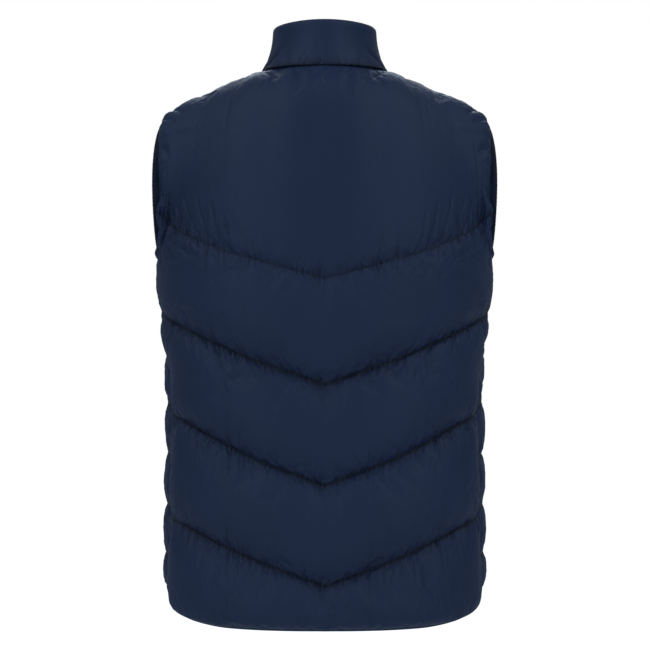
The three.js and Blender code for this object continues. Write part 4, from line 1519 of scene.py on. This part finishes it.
@dataclass
class Armhole:
    """The folded strip over an armhole's raw edges, and the line of its edge."""

    form: Form
    finishes: Finishes
    gap: float = 0.00102
    width: float = 0.007
    wall: float = 0.003
    cloth: float = 0.0007
    pitch: float = 0.0048
    gather: float = 0.00045
    scallop: float = 0.00022
    dense: int = 420
    samples: int = 760
    stitch_out: float = -0.0034
    seed: int = 71
    section: tuple = ((-5.2, 2.15), (-4.4, 2.45), (-3.4, 2.40), (-2.0, 2.65), (-0.2, 2.60),
                      (1.6, 2.10), (2.9, 1.15), (3.5, 0.0))

    def frame_along(self) -> tuple:
        """The edge as even steps round the armhole of the wearer's left.

        Returns:
            The strip's centres, its outward directions, the cloth's normals, and the running
            length, each with one row a step.
        """
        heights = np.linspace(0.0, self.form.top, self.dense)
        inside = np.clip(heights, 0.002, self.form.top - 0.002)
        points, normals = [], []
        surface = self.form.surface
        for side, sign in ((Side.BACK, -1.0), (Side.FRONT, 1.0)):
            ones = np.ones_like(heights)
            over = surface(side, ones, inside) - surface(side, ones - 0.01, inside)
            up = surface(side, ones, inside + 0.001) - surface(side, ones, inside - 0.001)
            points.append(surface(side, ones, heights))
            normals.append(unit(np.cross(over, up)) * sign)
        points = np.concatenate([points[0][:-1], points[1][::-1][:-1]])
        normals = np.concatenate([normals[0][:-1], normals[1][::-1][:-1]])
        closed = np.concatenate([points, points[:1]])
        run = np.concatenate([[0.0], np.cumsum(np.linalg.norm(np.diff(closed, axis=0), axis=-1))])
        even = np.arange(self.samples) / self.samples * run[-1]
        sampled = [np.stack([np.interp(even, run, np.append(grid[:, axis], grid[0, axis]))
                             for axis in range(3)], axis=-1) for grid in (points, normals)]
        point, normal = sampled[0], sampled[1]
        for _ in range(24):
            normal = unit(normal + np.roll(normal, 1, axis=0) + np.roll(normal, -1, axis=0))
        ahead = np.roll(point, -3, axis=0) - np.roll(point, 3, axis=0)
        outward = unit(np.cross(normal, ahead))
        centre = point + outward * (self.gap + self.width / 2.0) - normal * self.wall / 2.0
        return centre, outward, normal, even, run[-1]

    def strip(self) -> tuple:
        """The strip's points: rings of its folded section, outside and then back along the inside.

        Returns:
            The points, their cloth coordinates, the strip's flat width and length, and the path
            and normals of its stitches.
        """
        centre, outward, normal, even, length = self.frame_along()
        half = np.array(self.section) / 1000.0
        whole = np.concatenate([half, half[-2::-1] * (1.0, -1.0)])
        fine = np.linspace(0.0, len(whole) - 1.0, 2 * len(whole) - 1)
        path = np.stack([table_curve(np.arange(len(whole)), whole[:, axis])(fine)
                         for axis in range(2)], axis=-1)
        ahead = unit(np.gradient(path, axis=0))
        inner = path + np.stack([ahead[:, 1], -ahead[:, 0]], axis=-1) * self.cloth
        ring = np.concatenate([path, inner[::-1]])
        random = np.random.default_rng(self.seed)
        count = round(length / self.pitch)
        place, knots = even / length * count, np.arange(count + 1)
        jitter = np.interp(place, knots, random.normal(0.0, 0.8, count + 1))
        strength = np.interp(place, knots, random.uniform(0.4, 1.3, count + 1))
        wave = (0.5 + 0.5 * np.cos(2.0 * np.pi * even / length * count + jitter)) * strength
        at_stitch = np.exp(-((ring[:, 0] - self.stitch_out) / 0.0016) ** 2)
        across = ring[None, :, 0] + self.scallop * (wave[:, None] - 0.5) * (ring[None, :, 0] > 0.0)
        out = ring[None, :, 1] * (1.0 - self.gather * wave[:, None] * at_stitch[None, :] / 0.0025)
        points = (centre[:, None] + outward[:, None] * across[..., None]
                  + normal[:, None] * out[..., None])
        steps = np.linalg.norm(np.diff(path, axis=0), axis=-1)
        over = np.concatenate([[0.0], np.cumsum(steps)])
        over = np.concatenate([over, over[::-1]])
        cloth = np.stack(np.broadcast_arrays(even[:, None], over[None, :]), axis=-1)
        stitches = centre + outward * self.stitch_out + normal * (0.0024 - 0.3 * self.gather)
        return points, cloth, (steps.sum(), length), (stitches, normal)

    def build(self, hand: Hand) -> tuple:
        """Args:
            hand: the wearer's left or right.

        Returns:
            The path of its stitches and the normals there.
        """
        points, cloth, flat, stitches = self.strip()
        mirror = np.array((float(hand.value), 1.0, 1.0))
        ids = np.arange(points.shape[0] * points.shape[1]).reshape(points.shape[:2])
        ids = np.concatenate([ids, ids[:1]])
        ids = np.concatenate([ids, ids[:, :1]], axis=1)
        seam = np.tile((0.0, FAR, FAR), (points.shape[0] * points.shape[1], 1))
        piece = surface_object(f"armhole_bound_{hand.word}", (points * mirror).reshape(-1, 3),
                               quads(ids), cloth.reshape(-1, 2), seam)
        dress(piece, self.finishes.binding, "binding", f"armhole_binding_{hand.word}")
        return stitches[0] * mirror, stitches[1] * mirror


@dataclass
class Thread:
    """Lockstitches along lines of points, each a short spindle that dips into the cloth."""

    length: float = 0.0026
    pitch: float = 0.0035
    radius: float = 0.00034
    lift: float = 0.00015
    dip: float = 0.00035
    sides: int = 5
    rings: tuple = ((-0.5, 0.35), (-0.25, 1.0), (0.25, 1.0), (0.5, 0.35))
    points: list = field(default_factory=list)

    def lay(self, path: Array, normals: Array) -> None:
        """Adds the stitches of one line."""
        run = np.concatenate([[0.0], np.cumsum(np.linalg.norm(np.diff(path, axis=0), axis=-1))])
        at = np.arange(self.pitch, run[-1] - self.pitch, self.pitch)

        def sampled(grid: Array, place: Array) -> Array:
            """The grid's rows at places along the line."""
            return np.stack([np.interp(place, run, grid[:, axis]) for axis in range(3)], axis=-1)

        ahead = unit(sampled(path, at + self.length / 2.0) - sampled(path, at - self.length / 2.0))
        up = unit(sampled(normals, at))
        side = unit(np.cross(ahead, up))
        centre = sampled(path, at)
        turn = 2.0 * np.pi * np.arange(self.sides) / self.sides
        rings = []
        for place, size in self.rings:
            middle = centre + ahead * (place * self.length)
            middle = middle + up * (self.lift - self.dip * (2.0 * place) ** 2)
            ring = (side[:, None] * np.cos(turn)[None, :, None]
                    + up[:, None] * np.sin(turn)[None, :, None])
            rings.append(middle[:, None] + ring * (self.radius * size))
        self.points.append(np.stack(rings, axis=1))

    def build(self, finishes: Finishes) -> None:
        """Makes all the stitches as one piece."""
        points = np.concatenate(self.points)
        count, rings, sides = points.shape[:3]
        first = np.arange(count)[:, None] * rings * sides
        faces = []
        for ring in range(rings - 1):
            for k in range(sides):
                a, b = ring * sides + k, ring * sides + (k + 1) % sides
                faces.append(first + np.array([[a, b, b + sides, a + sides]]))
        faces = np.concatenate(faces).tolist()
        caps = [(first + np.arange(sides)[None, ::-1]).tolist(),
                (first + (rings - 1) * sides + np.arange(sides)[None, :]).tolist()]
        mesh = bpy.data.meshes.new("stitching")
        mesh.from_pydata(points.reshape(-1, 3).tolist(), [], faces + caps[0] + caps[1])
        mesh.shade_smooth()
        item = bpy.data.objects.new("stitching", mesh)
        bpy.context.scene.collection.objects.link(item)
        face_outwards(item)
        dress(item, finishes.thread)


def face_outwards(item: bpy.types.Object) -> None:
    """Turns the faces of an object's closed shells outwards."""
    shape = bmesh.new()
    shape.from_mesh(item.data)
    bmesh.ops.recalc_face_normals(shape, faces=shape.faces)
    shape.to_mesh(item.data)
    shape.free()


def edited(turned: bool = False, size: tuple = ()) -> bpy.types.Object:
    """Shapes the primitive that was just added, in edit mode.

    Args:
        turned: whether its Z axis is first turned to X.
        size: factors for its three sides, or nothing.

    Returns:
        The primitive.
    """
    bpy.ops.object.mode_set(mode="EDIT")
    bpy.ops.mesh.select_all(action="SELECT")
    if turned:
        bpy.ops.transform.rotate(value=math.pi / 2.0, orient_axis="Y", center_override=(0, 0, 0))
    if size:
        bpy.ops.transform.resize(value=size)
    bpy.ops.object.mode_set(mode="OBJECT")
    return bpy.context.object


def bevelled(item: bpy.types.Object, width: float, segments: int = 3) -> bpy.types.Object:
    """Rounds an object's sharp edges.

    Args:
        item: the object.
        width: the bevel's width.
        segments: its number of steps.

    Returns:
        The object, with the bevel applied.
    """
    bevel = item.modifiers.new("bevel", "BEVEL")
    bevel.width = width
    bevel.segments = segments
    bevel.limit_method = "ANGLE"
    bevel.angle_limit = math.radians(40.0)
    bpy.context.view_layer.objects.active = item
    bpy.ops.object.modifier_apply(modifier=bevel.name)
    return item


@dataclass
class Block:
    """A bevelled box or a turned pin, modelled at its own origin."""

    size: tuple
    bevel: float = 0.0003
    segments: int = 3

    def box(self, name: str) -> bpy.types.Object:
        """A box of the size."""
        bpy.ops.object.select_all(action="DESELECT")
        bpy.ops.mesh.primitive_cube_add(size=1.0)
        bpy.context.object.name = name
        return bevelled(edited(size=self.size), self.bevel, self.segments)

    def pin(self, name: str, vertices: int = 24) -> bpy.types.Object:
        """A pin along X: the size is its length and its two diameters."""
        bpy.ops.object.select_all(action="DESELECT")
        bpy.ops.mesh.primitive_cylinder_add(radius=0.5, depth=1.0, vertices=vertices)
        bpy.context.object.name = name
        return bevelled(edited(turned=True, size=self.size), self.bevel, self.segments)


def joined(name: str, pieces: Sequence[bpy.types.Object]) -> bpy.types.Object:
    """Joins objects and shades them smooth by angle.

    Args:
        name: the new name.
        pieces: the objects.

    Returns:
        The joined object.
    """
    bpy.ops.object.select_all(action="DESELECT")
    for piece in pieces:
        piece.select_set(True)
    bpy.context.view_layer.objects.active = pieces[0]
    if len(pieces) > 1:
        bpy.ops.object.join()
    item = bpy.context.object
    item.name = name
    item.data.name = name
    bpy.ops.object.shade_smooth_by_angle(angle=math.radians(35.0))
    return item


def copied(original: bpy.types.Object, places: Sequence[Matrix]) -> list:
    """Copies an object to places, in its mesh, and removes the original.

    Args:
        original: the object.
        places: one matrix for each copy.

    Returns:
        The copies.
    """
    made = []
    for place in places:
        item = original.copy()
        item.data = original.data.copy()
        item.data.transform(place)
        bpy.context.scene.collection.objects.link(item)
        made.append(item)
    bpy.data.objects.remove(original)
    return made


@dataclass
class Zip:
    """The closed zip: tapes, teeth, stops, the box at its foot, the slider and its pull tab."""

    tailor: Tailor
    finishes: Finishes
    half_width: float = 0.008
    clearance: float = 0.00015
    recess: float = 0.0012
    thickness: float = 0.0014
    pitch: float = 0.0026
    tooth: tuple = (0.0034, 0.0021, 0.0015)
    drop: float = 0.015
    slider_size: tuple = (0.010, 0.0032, 0.015)
    face_out: float = -0.0006
    pull_width: float = 0.005
    pull_length: float = 0.027
    pull_thickness: float = 0.0018
    eye: float = 0.0023
    bore: float = 0.00125
    pin: float = 0.00085
    columns: int = 8
    collar_rows: int = 24
    foot_size: tuple = (0.0078, 0.0028, 0.0085)
    stop_size: tuple = (0.0026, 0.0026, 0.0034)
    interlock: float = 0.0009
    apart: float = 0.0021

    def spine(self, distance: float) -> tuple:
        """The line up the front and the collar at a distance beside the middle.

        Args:
            distance: how far beside the middle, along the cloth.

        Returns:
            Its points from the hem to the collar's top edge, and the outward normals there.
        """
        form, collar = self.tailor.form, CollarCut(self.tailor.form)
        share = distance / form.half_length(Side.FRONT, form.underarm)
        low = float(form.hem_height(Side.FRONT)(np.array([share]))[0])
        heights = np.linspace(low, form.top, 260)
        shares = np.full_like(heights, share)
        front = form.surface(Side.FRONT, shares, heights)
        rises = np.linspace(0.0, 1.0, self.collar_rows + 1)[1:]
        turns = collar.end_turn(max(distance - self.clearance, 0.0), rises)
        top = collar.point(turns, rises)
        points = np.concatenate([front, top])
        ahead = unit(np.gradient(points, axis=0))
        for _ in range(6):
            ahead[1:-1] = unit(ahead[:-2] + 2.0 * ahead[1:-1] + ahead[2:])
        across = np.array((1.0, 0.0, 0.0))
        return points, unit(np.cross(across, ahead))

    def build(self) -> None:
        """Makes every piece of the zip."""
        for hand in Hand:
            self.tape(hand)
        self.teeth()
        place = self.slider_place()
        self.slider(place)
        self.pull(place)

    def tape(self, hand: Hand) -> None:
        """Makes one tape: a thin ribbed sheet behind the faces of the front."""
        across = np.linspace(self.clearance, self.half_width, self.columns + 1)
        lines = [self.spine(distance) for distance in across]
        points = np.stack([line[0] for line in lines], axis=1)
        normals = np.stack([line[1] for line in lines], axis=1)
        mirror = np.array((float(hand.value), 1.0, 1.0))
        steps = np.linalg.norm(np.diff(points[:, 0], axis=0), axis=-1)
        run = np.concatenate([[0.0], np.cumsum(steps)])
        cloth = np.stack(np.broadcast_arrays(across[None, :], run[:, None]), axis=-1)
        zero = np.zeros(points.shape[:2])
        plain = np.tile((0.0, FAR, FAR), (*points.shape[:2], 1))
        outer = (points - normals * self.recess) * mirror
        inner = (points - normals * (self.recess + self.thickness)) * mirror
        skin = Skin(outer, inner, normals * mirror, zero, cloth, plain)
        name = f"tape_{hand.word}"
        piece = wall_object(name, skin, 1)
        dress(piece, self.finishes.tape, "zip_tape", f"zip_tape_{hand.word}")

    def teeth(self) -> None:
        """Makes the chain of teeth, left and right in turn, with its stops and foot box."""
        points, normals = self.spine(0.0)
        points = points - normals * (self.recess - self.tooth[1] * 0.15)
        run = np.concatenate([[0.0], np.cumsum(np.linalg.norm(np.diff(points, axis=0), axis=-1))])

        def place(at: float, aside: float) -> Matrix:
            """The frame at a length along the zip: X across, Y into the cloth, Z up."""
            middle = Vector([float(np.interp(at, run, points[:, axis])) for axis in range(3)])
            out = Vector([float(np.interp(at, run, normals[:, axis])) for axis in range(3)])
            out.normalize()
            x = Vector((1.0, 0.0, 0.0))
            up = x.cross(-out).normalized()
            turn = Matrix((x, -out, up)).transposed().to_4x4()
            return Matrix.Translation(middle + x * aside) @ turn

        start, end = 0.012, run[-1] - self.drop - self.slider_size[2] * 0.3
        count = int((end - start) / (self.pitch / 2.0))
        tooth = Block(self.tooth, 0.0004, 2).box("tooth")
        places = [place(start + k * self.pitch / 2.0, self.interlock * (1 if k % 2 else -1))
                  for k in range(count)]
        chain = joined("teeth", copied(tooth, places))
        dress(chain, self.finishes.teeth)
        upper = int((run[-1] - 0.004 - end - self.slider_size[2] * 0.5) / self.pitch)
        tooth = Block(self.tooth, 0.0004, 2).box("tooth")
        apart = [place(end + self.slider_size[2] * 0.6 + k * self.pitch, self.apart * side)
                 for k in range(upper) for side in (1, -1)]
        open_teeth = joined("teeth_top", copied(tooth, apart))
        dress(open_teeth, self.finishes.teeth)
        stop = Block(self.stop_size, 0.0005).box("stop")
        stops = copied(stop, [place(run[-1] - 0.0035, 0.0022 * side) for side in (1, -1)])
        foot = Block(self.foot_size, 0.0006).box("foot")
        stops += copied(foot, [place(0.0062, 0.0)])
        dress(joined("zip_stops", stops), self.finishes.metal, "zip_metal")

    def slider_place(self) -> Matrix:
        """Where the slider sits, leaning as the collar leans, in metres."""
        collar = CollarCut(self.tailor.form)
        rise = 1.0 - self.drop / (collar.front_level - self.tailor.form.front_neck[1])
        at = collar.point(np.full(3, 180.0), np.array([rise - 0.05, rise, rise + 0.05]))
        lean = math.atan2(at[2, 1] - at[0, 1], at[2, 2] - at[0, 2])
        centre = Vector((0.0, float(at[1, 1]), float(at[1, 2])))
        return Matrix.Translation(centre) @ Matrix.Rotation(-lean, 4, "X")

    def slider(self, place: Matrix) -> None:
        """Makes the slider: a waisted body, a bridge of two lugs, and the pin between them."""
        width, thick, tall = self.slider_size
        body = Block(self.slider_size, 0.0007, 4).box("slider_body")
        self.waisted(body, 0.82)
        body.data.transform(Matrix.Translation((0.0, -self.face_out - thick / 2.0, 0.0)))
        ridge = Block((width * 0.55, 0.0008, tall * 0.62), 0.0003).box("slider_ridge")
        ridge.data.transform(Matrix.Translation((0.0, -self.face_out - thick - 0.0002, 0.0)))
        lug_x = self.pull_width / 2.0 + 0.001
        lug_out = self.eye + 0.0016
        lug = Block((0.0012, lug_out, 0.0044), 0.0004).box("lug")
        lug_y = -self.face_out - thick - lug_out / 2.0 + 0.0004
        lugs = copied(lug, [Matrix.Translation((side * lug_x, lug_y, 0.0)) for side in (1, -1)])
        pin = Block((2.0 * lug_x + 0.0016, self.pin * 2.0, self.pin * 2.0), 0.00015).pin("pin")
        pin.data.transform(Matrix.Translation((0.0, self.pivot_y(), 0.0)))
        item = joined("slider", [body, ridge, *lugs, pin])
        item.data.transform(place)
        dress(item, self.finishes.metal, "zip_metal", "zip_slider")

    def waisted(self, item: bpy.types.Object, waist: float) -> None:
        """Draws a body in towards its lower end."""
        low = min(v.co.z for v in item.data.vertices)
        high = max(v.co.z for v in item.data.vertices)
        for vertex in item.data.vertices:
            share = (vertex.co.z - low) / (high - low)
            vertex.co.x *= waist + (1.0 - waist) * math.sin(math.pi / 2.0 * share)

    def pivot_y(self) -> float:
        """The pull's axis in the slider's own frame."""
        return -self.face_out - (self.slider_size[1] + self.eye + 0.0005)

    def pull(self, place: Matrix) -> None:
        """Makes the pull tab: an eye round the pin, and a tongue with a raised grip."""
        bpy.ops.object.select_all(action="DESELECT")
        bpy.ops.mesh.primitive_cylinder_add(
            radius=(self.eye + self.bore) / 2.0, depth=self.pull_width, vertices=40,
            end_fill_type="NOTHING")
        eye = edited(turned=True)
        solid = eye.modifiers.new("wall", "SOLIDIFY")
        solid.thickness = self.eye - self.bore
        solid.offset = 0.0
        bpy.ops.object.modifier_apply(modifier=solid.name)
        bevelled(eye, 0.0002)
        long = self.pull_length - self.eye
        tongue = Block((self.pull_width, self.pull_thickness, long), 0.0005, 4).box("tongue")
        tongue.data.transform(Matrix.Translation((0.0, 0.0, -self.eye + 0.0004 - long / 2.0)))
        rib = Block((self.pull_width * 0.62, self.pull_thickness * 1.0, 0.0009), 0.0002).box("rib")
        ribs = copied(rib, [
            Matrix.Translation((0.0, -0.0001, -self.pull_length + 0.004 + 0.0019 * k))
            for k in range(5)])
        item = joined("pull_tab_shaped", [eye, tongue, *ribs])
        item.data.transform(place @ Matrix.Translation((0.0, self.pivot_y(), 0.0)))
        dress(item, self.finishes.metal, "zip_metal", "zip_pull", body="pull_tab")


@dataclass
class Studio:
    """The pale floor, the soft lights and the camera."""

    middle: float = -0.3194
    distance: float = 3.5
    seen_width: float = 0.8125
    sensor: float = 0.036
    shift_x: float = 0.0005
    floor_level: float = -1.45
    floor_half: float = 30.0
    tint: tuple = (0.78, 0.90, 1.0)
    floor_glow: float = 0.86

    def build(self) -> None:
        """Sets up the whole scene round the garment."""
        self.camera()
        self.floor()
        self.world()
        self.lights()
        bpy.context.scene.view_settings.view_transform = "Standard"

    def camera(self) -> None:
        """The camera behind the garment, level with its middle."""
        data = bpy.data.cameras.new("camera")
        data.sensor_width = self.sensor * 1000.0
        data.lens = self.distance * self.sensor / self.seen_width * 1000.0
        data.shift_x = self.shift_x
        data.clip_end = 200.0
        camera = bpy.data.objects.new("camera", data)
        camera.location = (0.0, self.distance, self.middle)
        camera.rotation_euler = (math.radians(90.0), 0.0, math.radians(180.0))
        bpy.context.scene.collection.objects.link(camera)
        bpy.context.scene.camera = camera

    def floor(self) -> None:
        """A pale plain floor well below the garment."""
        bpy.ops.object.select_all(action="DESELECT")
        bpy.ops.mesh.primitive_plane_add(
            size=2.0 * self.floor_half, location=(0, 0, self.floor_level))
        floor = bpy.context.object
        floor.name = "floor"
        paint = bpy.data.materials.new("pale_floor")
        paint.use_nodes = True
        shader = paint.node_tree.nodes["Principled BSDF"]
        shader.inputs["Base Color"].default_value = (0.85, 0.85, 0.85, 1.0)
        shader.inputs["Roughness"].default_value = 0.9
        shader.inputs["Emission Color"].default_value = (1.0, 1.0, 1.0, 1.0)
        path = add_node(paint.node_tree, "ShaderNodeLightPath")
        glow = math_node(
            paint.node_tree, "MULTIPLY", path.outputs["Is Camera Ray"], self.floor_glow)
        paint.node_tree.links.new(glow, shader.inputs["Emission Strength"])
        floor.data.materials.append(paint)

    def world(self) -> None:
        """A white backdrop to the camera, and a dimmer even light on the garment."""
        world = bpy.data.worlds.new("studio")
        bpy.context.scene.world = world
        world.use_nodes = True
        tree = world.node_tree
        tree.nodes.clear()
        seen = add_node(tree, "ShaderNodeBackground", color=(1.0, 1.0, 1.0, 1.0), strength=1.0)
        lit = add_node(tree, "ShaderNodeBackground", color=(*self.tint, 1.0), strength=0.26)
        path = add_node(tree, "ShaderNodeLightPath")
        both = add_node(tree, "ShaderNodeMixShader", fac=path.outputs["Is Camera Ray"])
        tree.links.new(lit.outputs[0], both.inputs[1])
        tree.links.new(seen.outputs[0], both.inputs[2])
        out = add_node(tree, "ShaderNodeOutputWorld")
        tree.links.new(both.outputs[0], out.inputs["Surface"])

    def lights(self) -> None:
        """Softboxes: two above, two lower beside the camera, and one for the front."""
        for word, side in (("left", 1.0), ("right", -1.0)):
            self.softbox(f"top_{word}", (side * 1.7, 1.0, 2.3), 1.5, 17.0)
            self.softbox(f"fill_{word}", (side * 1.9, 2.9, 0.3), 1.1, 14.0)
        self.softbox("front_fill", (0.0, -3.2, 1.6), 2.0, 40.0)

    def softbox(self, name: str, place: tuple, size: float, power: float) -> None:
        """A square area light that faces the middle of the garment.

        Args:
            name: the light's name.
            place: where it stands.
            size: the length of its side.
            power: its watts.
        """
        data = bpy.data.lights.new(name, "AREA")
        data.size = size
        data.energy = power
        data.color = self.tint
        light = bpy.data.objects.new(name, data)
        light.location = place
        towards = Vector((0.0, 0.0, self.middle)) - light.location
        light.rotation_euler = towards.to_track_quat("-Z", "Y").to_euler()
        bpy.context.scene.collection.objects.link(light)


@dataclass
class Garment:
    """The whole vest: its padded panels, bindings, zip and stitches."""

    tailor: Tailor
    finishes: Finishes
    zip_stitch: float = 0.0028
    hem_rows: int = 8

    def build(self) -> None:
        """Makes every piece."""
        quilting = Quilting(self.tailor, self.finishes)
        quilting.build()
        thread = Thread()
        for skin in quilting.skins.values():
            for row in skin.lines:
                thread.lay(skin.outer[row], skin.normal[row])
        for hand in Hand:
            skin = quilting.skins[f"front_quilted_{hand.word}"]
            beside = np.abs(np.abs(skin.cloth[-1, :, 0]) - self.tailor.zip_half - self.zip_stitch)
            column = int(beside.argmin())
            rows = slice(self.hem_rows, None)
            thread.lay(skin.outer[rows, column], skin.normal[rows, column])
            thread.lay(*Armhole(self.tailor.form, self.finishes).build(hand))
        Zip(self.tailor, self.finishes).build()
        thread.build(self.finishes)


def main() -> None:
    """Builds the dressed garment and its studio."""
    logging.basicConfig(level=logging.INFO, format="%(name)s: %(message)s")
    Garment(Tailor(Form()), Finishes()).build()
    Studio().build()


if __name__ == "__main__":
    main()
